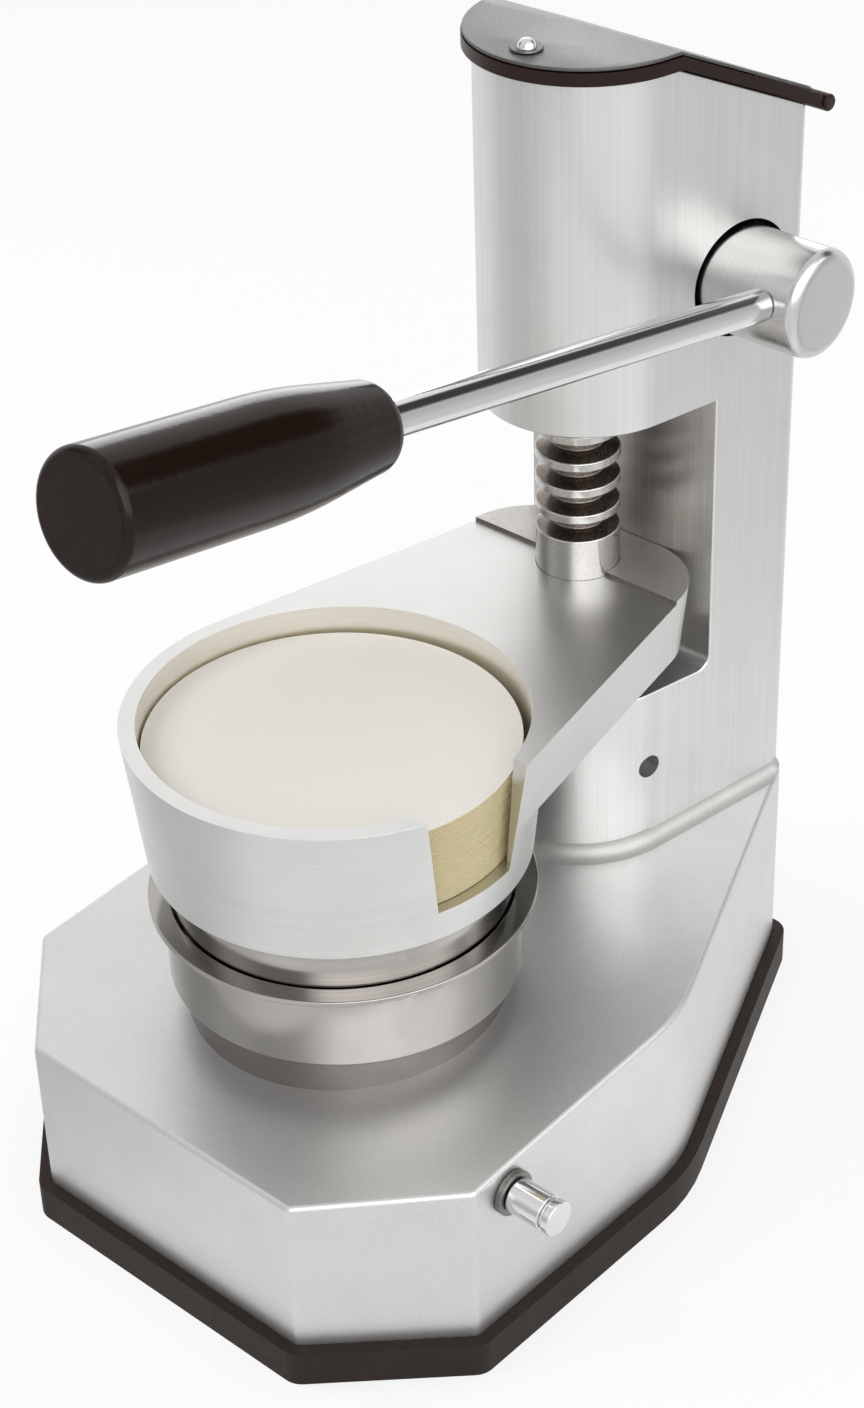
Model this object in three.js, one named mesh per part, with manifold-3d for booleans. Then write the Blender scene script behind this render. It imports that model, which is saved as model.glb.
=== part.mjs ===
// A manual burger press. The side lever turns a pinion, the pinion drives a round rack up and down through
// the column, and the rack carries an arm with a press plate under it and a cup of paper discs on it.
// A bar under the base links the rack's lower end to the mould's ejector, so the burger rises with the lever.
// Millimetres, +Z up, +Y to the rear, +X to the lever's side, origin on the ground under the mould's axis.
import * as THREE from 'three';
import { mergeVertices } from 'three/addons/utils/BufferGeometryUtils.js';
import Module from 'manifold-3d';

const wasm = await Module();
wasm.setup();

// Fits and gaps.
const seatGap = 0.3; // between two faces that rest on each other
const slideGap = 0.4; // between the arm's tail and the column's spine
const runningGap = 0.1; // radial, in bushes and round pins
const clearGap = 1; // round pieces that pass each other without touching
const overrun = 2; // how far a cut runs past the face that it opens
const chordError = 0.16; // how far the chords of a drawn arc may lie inside it
const weldDistance = 0.0001; // corners of a drawn surface that lie closer are one corner
const largeSteps = 36; // sides of the mould, cup and plates
const roundSteps = 24; // sides of the hub, its axle and their bushes
const slidingSteps = 20; // sides of the shaft, its bushes and the grip
const smallSteps = 16; // sides of a pin that something turns on
const screwSteps = 8; // sides of a screw, its hole and its boss

// The base, an eight-sided box casting whose top rises to the rear, on a rubber mat.
const baseHalfWidth = 87;
const baseFrontHalfWidth = 51;
const baseFront = 78.5; // mould axis to the front face
const baseChamferEnd = 43; // mould axis to the rear end of the front corner cuts
const baseSideEnd = 47.5; // mould axis to where the sides start to taper
const baseCornerRadius = 3;
const baseTaperRadius = 16; // rounding where the sides start to taper
const baseTopLevel = 67.4; // at the mould axis
const baseTopSlope = 0.0581; // rise of the top for each millimetre to the rear
const baseWall = 5;
const baseTopWall = 6;
const matFloor = 2.5;
const matHeight = 11.6;
const matProud = 3.9; // how far the mat's rim stands out from the casting
const bottomPlateThickness = 1.5;
const pillarRadius = 6;
const pillarInset = 13; // outer corners to the pillars' axes
const bottomScrewRadius = 2;
const bottomScrewHeadRadius = 4;
const bottomScrewHeadHeight = 2;
const bottomScrewLength = 14;

// The column: a half-round head and foot on a rear spine that flares to the rear.
const shaftOffset = 105.4; // mould axis to the rack shaft's axis
const headRadius = 30.8;
const headCentreOffset = 3.4; // the half-round's centre lies behind the shaft
const columnRear = 157; // mould axis to the rear face
const columnFlare = THREE.MathUtils.degToRad(10.8); // each side face, outwards to the rear
const columnCornerRadius = 3;
const columnWall = 5;
const spineFront = 125.6; // mould axis to the spine's flat face
const spineWall = 6;
const footTopLevel = 127.3;
const footFillet = 4.6; // where the foot runs out into the base's top
const footFilletEdge = 0.4; // thickness of that fillet's outer edge
const windowFillet = 4.5; // between the foot's top and the spine's face
const headBottomLevel = 217.5;
const headTopLevel = 321.7;
const headTopSlope = THREE.MathUtils.degToRad(25.6); // the head's top falls to the rear from the ridge
const ridgeOffset = -1; // the ridge lies this far behind the half-round's centre
const headFloor = 9;
const columnScrewRadius = 4;
const columnScrewHeadRadius = 6.5;
const columnScrewHeadHeight = 8;
const columnScrewSeatLevel = 61;
const columnScrewReach = 22; // thread length in the column's foot
const columnScrewBossRadius = 9;
const frontScrewSpread = 22.5; // half the distance between the two front screws
const frontScrewBack = -9; // shaft axis to the front screws
const rearScrewSpread = 24;
const rearScrewBack = 18.2;
const bushWall = 3.2;
const footBushLength = 40;
const headBushLength = 18;
const bushScrewLevel = 101;
const bushScrewRadius = 3;
const bushScrewHoleRadius = 3.75;
const bushScrewLength = 9;
const bushScrewOffset = -2.6; // shaft axis to the screw's axis

// The cap: a black plate with a thinner grey plate on it.
const capOverhang = 2.8;
const capRearOverhang = 6.2;
const capTrimThickness = 3.7;
const capPlateThickness = 1;
const capPlateSetback = 0.3;
const capBeadRadius = 2.45; // of the round bead along the trim's rear edge
const capScrewBack = 6.5; // the head's front to the screw's axis
const capScrewRadius = 2.5;
const capScrewHeadRadius = 4.6;
const capScrewHeadHeight = 2.6;
const capScrewLength = 16;
const capBossRadius = 5.5;
const capBossDepth = 24;

// The mould, a loose steel cup with a sleeve that plugs into the base.
const mouldBoreRadius = 50;
const mouldWall = 1.6;
const mouldFlange = 4.4; // beyond the outer wall
const mouldFlangeThickness = 1.7;
const mouldBottomLevel = 76.7;
const mouldHeight = 27.3;
const mouldFloor = 2;
const mouldEdgeChamfer = 1.5;
const sleeveRadius = 28.4;
const sleeveWall = 6;
const sleeveBottomLevel = 49;
const seatBossRadius = 47.5;
const collarWall = 7; // of the base round the sleeve

// The ejector: plate, rod, and the bar that links it to the rack shaft.
const ejectorPlateThickness = 5;
const ejectorTopAtLowest = 84;
const ejectorEdgeGap = 0.5;
const ejectorRodRadius = 6;
const ejectorSpigotRadius = 4;
const ejectorSpigotLength = 3;
const rodBushWall = 2.9;
const rodBushBossWall = 3;
const rodBushLength = 16;
const barWidth = 8;
const barHalfHeight = 5.5;
const barEyeRadius = 8;
const barPivotForward = 60.2; // pivot to the mould's axis
const barPivotLevel = 34;
const barPivotRadius = 3;
const barSlotPlay = 1.3;
const barTipLength = 7;
const barSlotHeight = 4.5; // of the slot that lets the bar swing under the sleeve
const earThickness = 5;
const earHalfLength = 8;
const earDrop = 7; // below the pivot's axis
const pivotHeadRadius = 5;
const pivotHeadThickness = 2;
const clipThickness = 1;
const clipGrooveDepth = 0.7;
const liftPinRadius = 2.5;
const shaftTailBelowPin = 6;
const clevisGap = 0.3;
const clevisDepth = 13; // of the shaft's slot above the pin's axis

// The rack and pinion.
const shaftRadius = 12.5;
const gearModule = 2.75;
const pinionTeeth = 13;
const addendumShare = 0.8; // of the module
const rootGap = 0.6;
const pressureAngle = THREE.MathUtils.degToRad(20);
const backlash = 0.4;
const firstGrooveHeight = 16; // arm's top to the lowest groove
const shaftTopLevel = 279.5;
const shaftChamfer = 1;
const leverDown = THREE.MathUtils.degToRad(32); // from the pose shown to the lowest
const leverUp = THREE.MathUtils.degToRad(110);
const pinionWidth = 18;
const pinionCollarRadius = 12.8;
const pinionPinRadius = 2.5;

// The lever: hub and axle in one piece, rod and grip.
const hubLevel = 253.6;
const hubRadius = 15.65;
const hubReach = 64.8; // from the middle plane to the hub's end face
const hubEdge = 3.4; // rounding of the end face
const hubBoreGap = 1.6;
const hubInset = 5; // how deep the hub sinks into the column's side
const axleRadius = 8;
const axleBushWall = 3.5;
const axleBushLength = 12;
const axleBossWall = 4;
const rodPlane = 53.5; // middle plane to the lever's rod
const leverTilt = THREE.MathUtils.degToRad(10.1); // above the horizontal in the pose shown
const rodRadius = 4.75;
const rodTenonRadius = 3.9;
const rodTenonStart = 4;
const gripStart = 161.5; // hub axis to the grip's narrow end
const gripShoulder = 201.5;
const gripEnd = 262.7;
const gripRadius = 15.35;
const gripNeckRadius = 11.6;
const gripEdge = 2.2;
const gripNeckEdge = 4;
const gripBlend = 11; // length on each side of the shoulder in which the taper bends
const gripInsertStart = 226;
const gripInsertLength = 22;
const gripInsertWall = 3;

// The arm with its paper cup, and the press plate under it.
const armTopLevel = 161.5;
const armThickness = 21.5;
const cupRadius = 59.6;
const cupBottomRadius = 55;
const cupBottomLevel = 118.4;
const cupBoreRadius = 54.8;
const cupFloorLevel = 128;
const armRearHalfWidth = 34; // at the rear end, before its corners are rounded
const armBlendRadius = 3; // at the arm's underside, where its sides leave the cup
const tailStep = 1.2; // the tail is left as cast, a little proud
const tailCornerRadius = 24;
const stepForward = 2; // the step lies this far in front of the shaft's axis
const notchTopWidth = 37;
const notchBottomWidth = 27;
const notchTurn = THREE.MathUtils.degToRad(-4); // from the +X direction
const pressPlateRadius = 49.5;
const pressPlateBottomLevel = 103;
const pressPlateFloor = 5;
const pressPlateWall = 4;
const pressPlateBossRadius = 13;
const plateScrewRadius = 4;
const plateScrewHeadRadius = 6.5;
const plateScrewHeadHeight = 5;
const plateScrewTipRise = 3;
const paperRadius = 53.5;
const paperTopDrop = 8; // cup's rim to the top disc
const armScrewRadius = 3.9;
const armScrewLength = 6.5;
const armScrewDrop = 11; // arm's top to the screw's axis

// The mould's lock, a half-round pin across the front of the sleeve.
const lockOffset = 28.6; // mould axis forward to the pin's axis
const lockLevel = 56.1;
const lockRadius = 4;
const lockTip = -18; // end of the pin beyond the middle plane
const lockFlatEnd = 24;
const lockKnobRadius = 5.25;
const lockKnobReach = 17.5; // beyond the base's side
const lockKnobGrooveInset = 2.6; // the knob's end to its groove
const lockKnobGrooveWidth = 1;
const lockBushRadius = 6;
const lockBushFlangeRadius = 6.8;
const lockBushFlange = 2;
const lockBushLength = 15;
const lockBossWall = 3;
const lockClipWall = 3;

// Values worked out from the sizes above.
const addendum = gearModule * addendumShare;
const dedendum = addendum + rootGap;
const toothPitch = Math.PI * gearModule;
const pinionPitchRadius = (gearModule * pinionTeeth) / 2;
const pinionTipRadius = pinionPitchRadius + addendum;
const rackPitchRadius = shaftRadius - addendum;
const hubOffset = shaftOffset + rackPitchRadius + pinionPitchRadius; // mould axis to the lever's axis
const headCentre = shaftOffset + headCentreOffset;
const ridge = headCentre + ridgeOffset;
const travelDown = leverDown * pinionPitchRadius;
const travelUp = leverUp * pinionPitchRadius;
const barReach = shaftOffset + barPivotForward;
const barMidTravel = (travelUp - travelDown) / 2; // the bar lies level when the arm is this far up
const barAngle = -barMidTravel / barReach;
const liftPinLevel = barPivotLevel - barMidTravel;
const ejectorRatio = barPivotForward / barReach;
const ejectorTop = ejectorTopAtLowest + travelDown * ejectorRatio;
const housingBottom = matFloor + seatGap;
const bottomPlateTop = housingBottom + bottomPlateThickness;
const firstGrooveLevel = armTopLevel + firstGrooveHeight;
const bushRadius = shaftRadius + bushWall;
const axleBushRadius = axleRadius + axleBushWall;
const lockKnobEnd = baseHalfWidth + lockKnobReach;
const lockClipStart = baseHalfWidth - lockBushLength - seatGap * 2 - clipThickness;
const insetRadiusFloor = 0.5; // smallest corner rounding of a pocket
const ceilingReach = headTopLevel; // taller than anything that is cut by it

// A closed three.js geometry as a solid that can be cut and joined.
function solidOf(geometry) {
  const bare = geometry.index ? geometry.toNonIndexed() : geometry.clone();
  bare.deleteAttribute('normal');
  bare.deleteAttribute('uv');
  const merged = mergeVertices(bare, weldDistance);
  const mesh = new wasm.Mesh({
    numProp: 3,
    vertProperties: Float32Array.from(merged.attributes.position.array),
    triVerts: Uint32Array.from(merged.index.array),
  });
  return new wasm.Manifold(mesh);
}

// A solid's surface as a three.js geometry.
function geometryOf(solid) {
  const mesh = solid.getMesh();
  const geometry = new THREE.BufferGeometry();
  geometry.setAttribute('position', new THREE.BufferAttribute(mesh.vertProperties, 3));
  geometry.setIndex(new THREE.BufferAttribute(mesh.triVerts, 1));
  geometry.computeVertexNormals();
  return geometry;
}

function cut(body, ...tools) {
  return tools.reduce((rest, tool) => rest.subtract(tool), body);
}

function join(body, ...others) {
  return others.reduce((whole, other) => whole.add(other), body);
}

// Moves, for geometries that are drawn upright or lying in the ground plane.
const sideways = new THREE.Matrix4().makeRotationY(Math.PI / 2); // +Z to +X
const rearwards = new THREE.Matrix4().makeRotationX(-Math.PI / 2); // +Z to +Y
const asSideView = new THREE.Matrix4().makeBasis(
  new THREE.Vector3(0, 1, 0),
  new THREE.Vector3(0, 0, 1),
  new THREE.Vector3(1, 0, 0),
); // drawn x to +Y, drawn y to +Z, depth to +X

function moved(x, y, z, turn = new THREE.Matrix4()) {
  return new THREE.Matrix4().makeTranslation(x, y, z).multiply(turn);
}

// A turned piece. The profile lists [radius, height] from the axis back to it, or round a closed ring.
function turned(profile, steps, place = new THREE.Matrix4()) {
  const points = profile.map(([radius, height]) => new THREE.Vector2(radius, height));
  const geometry = new THREE.LatheGeometry(points, steps);
  geometry.rotateX(Math.PI / 2);
  geometry.applyMatrix4(place);
  return solidOf(geometry);
}

function rod(radius, bottom, top, steps, place) {
  const profile = [[0, bottom], [radius, bottom], [radius, top], [0, top]];
  return turned(profile, steps, place);
}

function ring(innerRadius, outerRadius, bottom, top, steps, place) {
  const profile = [
    [innerRadius, bottom],
    [outerRadius, bottom],
    [outerRadius, top],
    [innerRadius, top],
    [innerRadius, bottom],
  ];
  return turned(profile, steps, place);
}

// A flat outline pushed up from one height to another.
function prism(shape, bottom, top, place = new THREE.Matrix4()) {
  const geometry = new THREE.ExtrudeGeometry(shape, {
    depth: top - bottom,
    bevelEnabled: false,
  });
  geometry.translate(0, 0, bottom);
  geometry.applyMatrix4(place);
  return solidOf(geometry);
}

// A flat outline under a level, whose sides lean inwards by the draft on their way down.
function draftedPrism(shape, bottom, top, draft) {
  const geometry = new THREE.ExtrudeGeometry(shape, {
    depth: overrun,
    bevelThickness: top - bottom,
    bevelSize: draft,
    bevelOffset: -draft,
    bevelSegments: 1,
  });
  geometry.translate(0, 0, top);
  return cut(solidOf(geometry), block([-ceilingReach, -ceilingReach, top],
    [ceilingReach, ceilingReach, top + ceilingReach]));
}

function block(low, high, place = new THREE.Matrix4()) {
  const size = high.map((value, axis) => value - low[axis]);
  const middle = high.map((value, axis) => (value + low[axis]) / 2);
  const geometry = new THREE.BoxGeometry(...size);
  geometry.translate(...middle);
  geometry.applyMatrix4(place);
  return solidOf(geometry);
}

// Everything above the base's sloping top, shifted up by some height.
function aboveTop(lift) {
  const slope = new THREE.Matrix4().makeRotationX(Math.atan(baseTopSlope));
  return block([-ceilingReach, -ceilingReach, 0], [ceilingReach, ceilingReach, ceilingReach],
    moved(0, 0, baseTopLevel + lift, slope));
}

// The points of an arc, as few as the chord error allows.
function arcPoints(x, y, radius, from, to) {
  const largestStep = 2 * Math.acos(1 - Math.min(chordError / radius, 1 / 2));
  const count = Math.max(2, Math.ceil(Math.abs(to - from) / largestStep));
  return Array.from({ length: count + 1 }, (_, index) => {
    const turn = from + ((to - from) * index) / count;
    return new THREE.Vector2(x + radius * Math.cos(turn), y + radius * Math.sin(turn));
  });
}

// A closed outline through corners given anticlockwise as { x, y, radius }.
function roundedOutline(corners) {
  const points = corners.flatMap((corner, index) => {
    const before = corners[(index + corners.length - 1) % corners.length];
    const after = corners[(index + 1) % corners.length];
    const point = new THREE.Vector2(corner.x, corner.y);
    const toBefore = new THREE.Vector2(before.x, before.y).sub(point).normalize();
    const toAfter = new THREE.Vector2(after.x, after.y).sub(point).normalize();
    const halfAngle = Math.acos(THREE.MathUtils.clamp(toBefore.dot(toAfter), -1, 1)) / 2;
    const middle = toBefore.clone().add(toAfter).normalize();
    const centre = point.clone().addScaledVector(middle, corner.radius / Math.sin(halfAngle));
    const run = corner.radius / Math.tan(halfAngle);
    const start = point.clone().addScaledVector(toBefore, run).sub(centre);
    const end = point.clone().addScaledVector(toAfter, run).sub(centre);
    const sweep = THREE.MathUtils.euclideanModulo(end.angle() - start.angle(), 2 * Math.PI);
    return arcPoints(centre.x, centre.y, corner.radius, start.angle(), start.angle() + sweep);
  });
  return new THREE.Shape(points);
}

// The same corners moved inwards by an even distance, for walls, pockets and rims.
function insetCorners(corners, inset) {
  const sides = corners.map((corner, index) => {
    const after = corners[(index + 1) % corners.length];
    const along = new THREE.Vector2(after.x - corner.x, after.y - corner.y).normalize();
    const inwards = new THREE.Vector2(-along.y, along.x);
    return { along, from: new THREE.Vector2(corner.x, corner.y).addScaledVector(inwards, inset) };
  });
  return corners.map((corner, index) => {
    const side = sides[index];
    const last = sides[(index + sides.length - 1) % sides.length];
    const apart = side.from.clone().sub(last.from);
    const run = apart.cross(side.along) / last.along.cross(side.along);
    const point = last.from.clone().addScaledVector(last.along, run);
    return { x: point.x, y: point.y, radius: Math.max(corner.radius - inset, insetRadiusFloor) };
  });
}

// Half the column's width at a distance behind the mould's axis.
function columnHalfWidth(y) {
  return headRadius / Math.cos(columnFlare) + (y - headCentre) * Math.tan(columnFlare);
}

function baseCorners() {
  const right = [
    { x: baseFrontHalfWidth, y: -baseFront, radius: baseCornerRadius },
    { x: baseHalfWidth, y: -baseChamferEnd, radius: baseCornerRadius },
    { x: baseHalfWidth, y: baseSideEnd, radius: baseTaperRadius },
    { x: columnHalfWidth(columnRear), y: columnRear, radius: columnCornerRadius },
  ];
  const left = right.map((corner) => ({ ...corner, x: -corner.x })).reverse();
  return [...right, ...left];
}

function baseOutline(inset) {
  return roundedOutline(insetCorners(baseCorners(), inset));
}

// The column's outline from above: half-round in front, flared sides, flat rear.
function columnOutline(inset, rearInset = inset) {
  const radius = headRadius - inset;
  const rear = columnRear - rearInset;
  const rearHalfWidth = radius / Math.cos(columnFlare) + (rear - headCentre) * Math.tan(columnFlare);
  const corner = Math.max(columnCornerRadius - inset, insetRadiusFloor);
  const front = arcPoints(0, headCentre, radius, Math.PI + columnFlare, 2 * Math.PI - columnFlare);
  return new THREE.Shape([
    ...front,
    new THREE.Vector2(rearHalfWidth - corner * Math.tan(columnFlare), rear - corner),
    new THREE.Vector2(rearHalfWidth - corner, rear),
    new THREE.Vector2(corner - rearHalfWidth, rear),
    new THREE.Vector2(corner * Math.tan(columnFlare) - rearHalfWidth, rear - corner),
  ]);
}

// Places that several pieces share.
const pillarPlaces = pillarCorners();
const columnScrewPlaces = [
  { x: frontScrewSpread, y: shaftOffset + frontScrewBack },
  { x: rearScrewSpread, y: shaftOffset + rearScrewBack },
  { x: -rearScrewSpread, y: shaftOffset + rearScrewBack },
  { x: -frontScrewSpread, y: shaftOffset + frontScrewBack },
];
const atShaft = moved(0, shaftOffset, 0);
const atLever = moved(0, hubOffset, hubLevel, sideways);
const atLock = moved(0, -lockOffset, lockLevel, sideways);
const atPivot = moved(0, -barPivotForward, barPivotLevel, sideways);
const capScrewPlace = headCentre - headRadius + capScrewBack;

// A pillar stands in each of the base's corners but the two widest ones in front.
function pillarCorners() {
  const corners = insetCorners(baseCorners(), pillarInset);
  return corners.filter((corner) => corner !== corners.at(1) && corner !== corners.at(-2));
}

function baseHousing() {
  const walls = cut(
    prism(baseOutline(0), housingBottom, ceilingReach),
    aboveTop(0),
    cut(prism(baseOutline(baseWall), 0, ceilingReach), aboveTop(-baseTopWall)),
  );
  const inside = cut(prism(baseOutline(baseWall / 2), 0, ceilingReach), aboveTop(-baseTopWall / 2));
  const pillars = pillarPlaces.map(({ x, y }) =>
    rod(pillarRadius, bottomPlateTop + seatGap, ceilingReach, screwSteps, moved(x, y, 0)));
  const screwBosses = columnScrewPlaces.map(({ x, y }) =>
    rod(columnScrewBossRadius, columnScrewSeatLevel, ceilingReach, screwSteps, moved(x, y, 0)));
  const collar = rod(sleeveRadius + collarWall, sleeveBottomLevel, ceilingReach, largeSteps);
  const lockBoss = rod(lockBushRadius + lockBossWall, baseHalfWidth - lockBushLength, baseHalfWidth,
    smallSteps, atLock);
  const ears = [-1, 1].map((side) => {
    const near = barWidth / 2 + clearGap;
    const xs = [side * near, side * (near + earThickness)].sort((a, b) => a - b);
    return block(
      [xs[0], -barPivotForward - earHalfLength, barPivotLevel - earDrop],
      [xs[1], -barPivotForward + earHalfLength, ceilingReach],
    );
  });
  const within = join(collar, lockBoss, ...pillars, ...screwBosses, ...ears).intersect(inside);
  const seatBoss = rod(seatBossRadius, baseTopLevel - baseTopWall, mouldBottomLevel - seatGap, largeSteps);
  return cut(
    join(walls, within, seatBoss),
    rod(sleeveRadius + seatGap, 0, ceilingReach, largeSteps),
    rod(shaftRadius + clearGap, 0, ceilingReach, smallSteps, atShaft),
    rod(lockBushRadius + runningGap, baseHalfWidth - lockBushLength - overrun, baseHalfWidth + overrun,
      smallSteps, atLock),
    rod(lockRadius + clearGap, -baseHalfWidth / 2, baseHalfWidth, smallSteps, atLock),
    rod(lockRadius + lockClipWall + seatGap, lockClipStart - clearGap, baseHalfWidth - lockBushLength,
      smallSteps, atLock),
    rod(barPivotRadius + runningGap, -baseFrontHalfWidth, baseFrontHalfWidth, smallSteps, atPivot),
    barSlot(),
    ...pillarPlaces.map(({ x, y }) =>
      rod(bottomScrewRadius + runningGap, 0, housingBottom + bottomScrewLength + clearGap, screwSteps,
        moved(x, y, 0))),
    ...columnScrewPlaces.map(({ x, y }) =>
      rod(columnScrewRadius + seatGap, 0, ceilingReach, screwSteps, moved(x, y, 0))),
  );
}

// The way that the ejector's bar takes through the rear of the sleeve and its collar.
function barSlot() {
  const halfWidth = barWidth / 2 + clearGap;
  return block(
    [-halfWidth, 0, sleeveBottomLevel - overrun],
    [halfWidth, sleeveRadius + collarWall + overrun, sleeveBottomLevel + barSlotHeight],
  );
}

function baseMat() {
  return cut(
    prism(baseOutline(-matProud), 0, matHeight),
    prism(baseOutline(-seatGap), matFloor, matHeight + overrun),
    ...pillarPlaces.map(({ x, y }) =>
      rod(bottomScrewHeadRadius + seatGap, -overrun, matFloor + overrun, screwSteps, moved(x, y, 0))),
  );
}

function bottomPlate() {
  return cut(
    prism(baseOutline(baseWall + seatGap), housingBottom, bottomPlateTop),
    ...pillarPlaces.map(({ x, y }) =>
      rod(bottomScrewRadius + runningGap, 0, bottomPlateTop + overrun, screwSteps, moved(x, y, 0))),
  );
}

// A headed screw standing with its head down, the head's inner face at the given level.
function screwUp(radius, length, headRadius, headHeight, seat, place) {
  const profile = [
    [0, seat - headHeight],
    [headRadius, seat - headHeight],
    [headRadius, seat],
    [radius, seat],
    [radius, seat + length],
    [0, seat + length],
  ];
  return turned(profile, screwSteps, place);
}

function bottomScrew({ x, y }) {
  return screwUp(bottomScrewRadius, bottomScrewLength, bottomScrewHeadRadius, bottomScrewHeadHeight,
    matFloor, moved(x, y, 0));
}

function columnScrew({ x, y }) {
  const top = baseTopLevel + y * baseTopSlope;
  const length = top - columnScrewSeatLevel + columnScrewReach;
  return screwUp(columnScrewRadius, length, columnScrewHeadRadius, columnScrewHeadHeight,
    columnScrewSeatLevel - seatGap, moved(x, y, 0));
}

// The falling rear part of the head's top, as the side view of everything above it.
function aboveHead(lift) {
  const fall = Math.tan(headTopSlope);
  const rear = columnRear + ceilingReach;
  const level = headTopLevel + lift;
  const shape = new THREE.Shape();
  shape.moveTo(0, level);
  shape.lineTo(ridge, level);
  shape.lineTo(rear, level - (rear - ridge) * fall);
  shape.lineTo(rear, level + ceilingReach);
  shape.lineTo(0, level + ceilingReach);
  shape.closePath();
  return prism(shape, -baseHalfWidth, baseHalfWidth, asSideView);
}

// The opening between foot and head, drawn from the side.
function columnWindow() {
  const corner = arcPoints(spineFront - windowFillet, footTopLevel + windowFillet, windowFillet,
    -Math.PI / 2, 0);
  const shape = new THREE.Shape([
    new THREE.Vector2(0, footTopLevel),
    ...corner,
    new THREE.Vector2(spineFront, headBottomLevel),
    new THREE.Vector2(0, headBottomLevel),
  ]);
  return prism(shape, -baseHalfWidth, baseHalfWidth, asSideView);
}

// The hollow fillet round the foot. It follows the slope of the base's top and ends at the base's sides.
function footFlare() {
  const geometry = new THREE.ExtrudeGeometry(columnOutline(0), {
    depth: footFillet,
    bevelThickness: footFillet,
    bevelSize: -footFillet,
    bevelOffset: footFillet,
    bevelSegments: 3,
  });
  const slope = new THREE.Matrix4().makeShear(0, 0, 0, baseTopSlope, 0, 0);
  const seat = baseTopLevel + seatGap + footFilletEdge / 2;
  geometry.applyMatrix4(moved(0, 0, seat + footFillet, slope));
  const fillet = cut(solidOf(geometry), aboveTop(seatGap + footFillet * 1.5));
  const edge = cut(prism(columnOutline(-footFillet), 0, footTopLevel), aboveTop(seatGap + footFilletEdge));
  return join(fillet, edge).intersect(prism(baseOutline(0), 0, footTopLevel));
}

function column() {
  const outside = prism(columnOutline(0), 0, headTopLevel);
  const window = columnWindow();
  const headCavity = prism(columnOutline(columnWall), headBottomLevel + headFloor, headTopLevel + overrun);
  const spineCavity = prism(columnOutline(spineWall), 0, headBottomLevel + headFloor + overrun)
    .intersect(block([-baseHalfWidth, spineFront + spineWall, 0],
      [baseHalfWidth, columnRear, ceilingReach]));
  const shell = cut(outside, window, headCavity, spineCavity);
  const rightEnd = axleShoulder();
  const bushBoss = rod(bushRadius + columnWall, headBottomLevel, headBottomLevel + headBushLength,
    slidingSteps, atShaft);
  const rightBoss = rod(hubRadius + columnWall, rightEnd - axleBushLength, headRadius * 2, roundSteps,
    atLever);
  const leftBoss = rod(axleBushRadius + axleBossWall, -headRadius * 2, -(rightEnd - axleBushLength),
    roundSteps, atLever);
  const capBoss = rod(capBossRadius, headTopLevel - capBossDepth, headTopLevel, smallSteps,
    moved(0, capScrewPlace, 0));
  const bosses = join(bushBoss, rightBoss, leftBoss, capBoss).intersect(outside);
  const flare = cut(footFlare(), prism(columnOutline(columnWall), 0, ceilingReach));
  return cut(
    join(shell, bosses, flare),
    cut(block([-baseHalfWidth, 0, 0], [baseHalfWidth, columnRear + overrun, footTopLevel]),
      aboveTop(seatGap)),
    aboveHead(0),
    rod(bushRadius + runningGap, 0, headBottomLevel + headBushLength + overrun, slidingSteps, atShaft),
    rod(shaftRadius + clearGap, headBottomLevel, ceilingReach, slidingSteps, atShaft),
    rod(pinionTipRadius + clearGap / 2, -pinionWidth / 2 - clearGap, pinionWidth / 2 + clearGap,
      roundSteps, atLever),
    rod(hubRadius + hubBoreGap, rightEnd - seatGap, headRadius * 2, roundSteps, atLever),
    rod(axleBushRadius + runningGap, -(rightEnd + seatGap), rightEnd + overrun, roundSteps, atLever),
    rod(capScrewRadius + runningGap, headTopLevel - capScrewLength - clearGap, ceilingReach, smallSteps,
      moved(0, capScrewPlace, 0)),
    rod(bushScrewHoleRadius, 0, baseHalfWidth, smallSteps,
      moved(0, shaftOffset + bushScrewOffset, bushScrewLevel, sideways)),
    ...columnScrewPlaces.map(({ x, y }) =>
      rod(columnScrewRadius + runningGap, 0,
        baseTopLevel + y * baseTopSlope + columnScrewReach + clearGap, screwSteps, moved(x, y, 0))),
  );
}

function footBush() {
  return ring(shaftRadius + runningGap, bushRadius, footTopLevel - footBushLength, footTopLevel,
    slidingSteps, atShaft);
}

function headBush() {
  return ring(shaftRadius + runningGap, bushRadius, headBottomLevel, headBottomLevel + headBushLength,
    slidingSteps, atShaft);
}

function bushSetscrew() {
  const start = bushRadius + seatGap;
  return rod(bushScrewRadius, start, start + bushScrewLength, smallSteps,
    moved(0, shaftOffset + bushScrewOffset, bushScrewLevel, sideways));
}

// One layer of the cap, between two heights above the head's top.
function capLayer(outline, bottom, top) {
  return cut(prism(outline, headBottomLevel, ceilingReach * 2).intersect(aboveHead(bottom)),
    aboveHead(top));
}

function capTrim() {
  const outline = columnOutline(-capOverhang, -capRearOverhang);
  const trim = capLayer(outline, seatGap, seatGap + capTrimThickness);
  const beadPlace = columnRear + capRearOverhang - capBeadRadius;
  const fall = (beadPlace - ridge) * Math.tan(headTopSlope);
  const beadLevel = headTopLevel - fall + seatGap + capTrimThickness / 2;
  const bead = rod(capBeadRadius, -baseHalfWidth, baseHalfWidth, smallSteps,
    moved(0, beadPlace, beadLevel, sideways)).intersect(prism(outline, 0, ceilingReach * 2));
  return cut(join(trim, bead), rod(capScrewRadius + seatGap, 0, ceilingReach * 2, smallSteps,
    moved(0, capScrewPlace, 0)));
}

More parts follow.
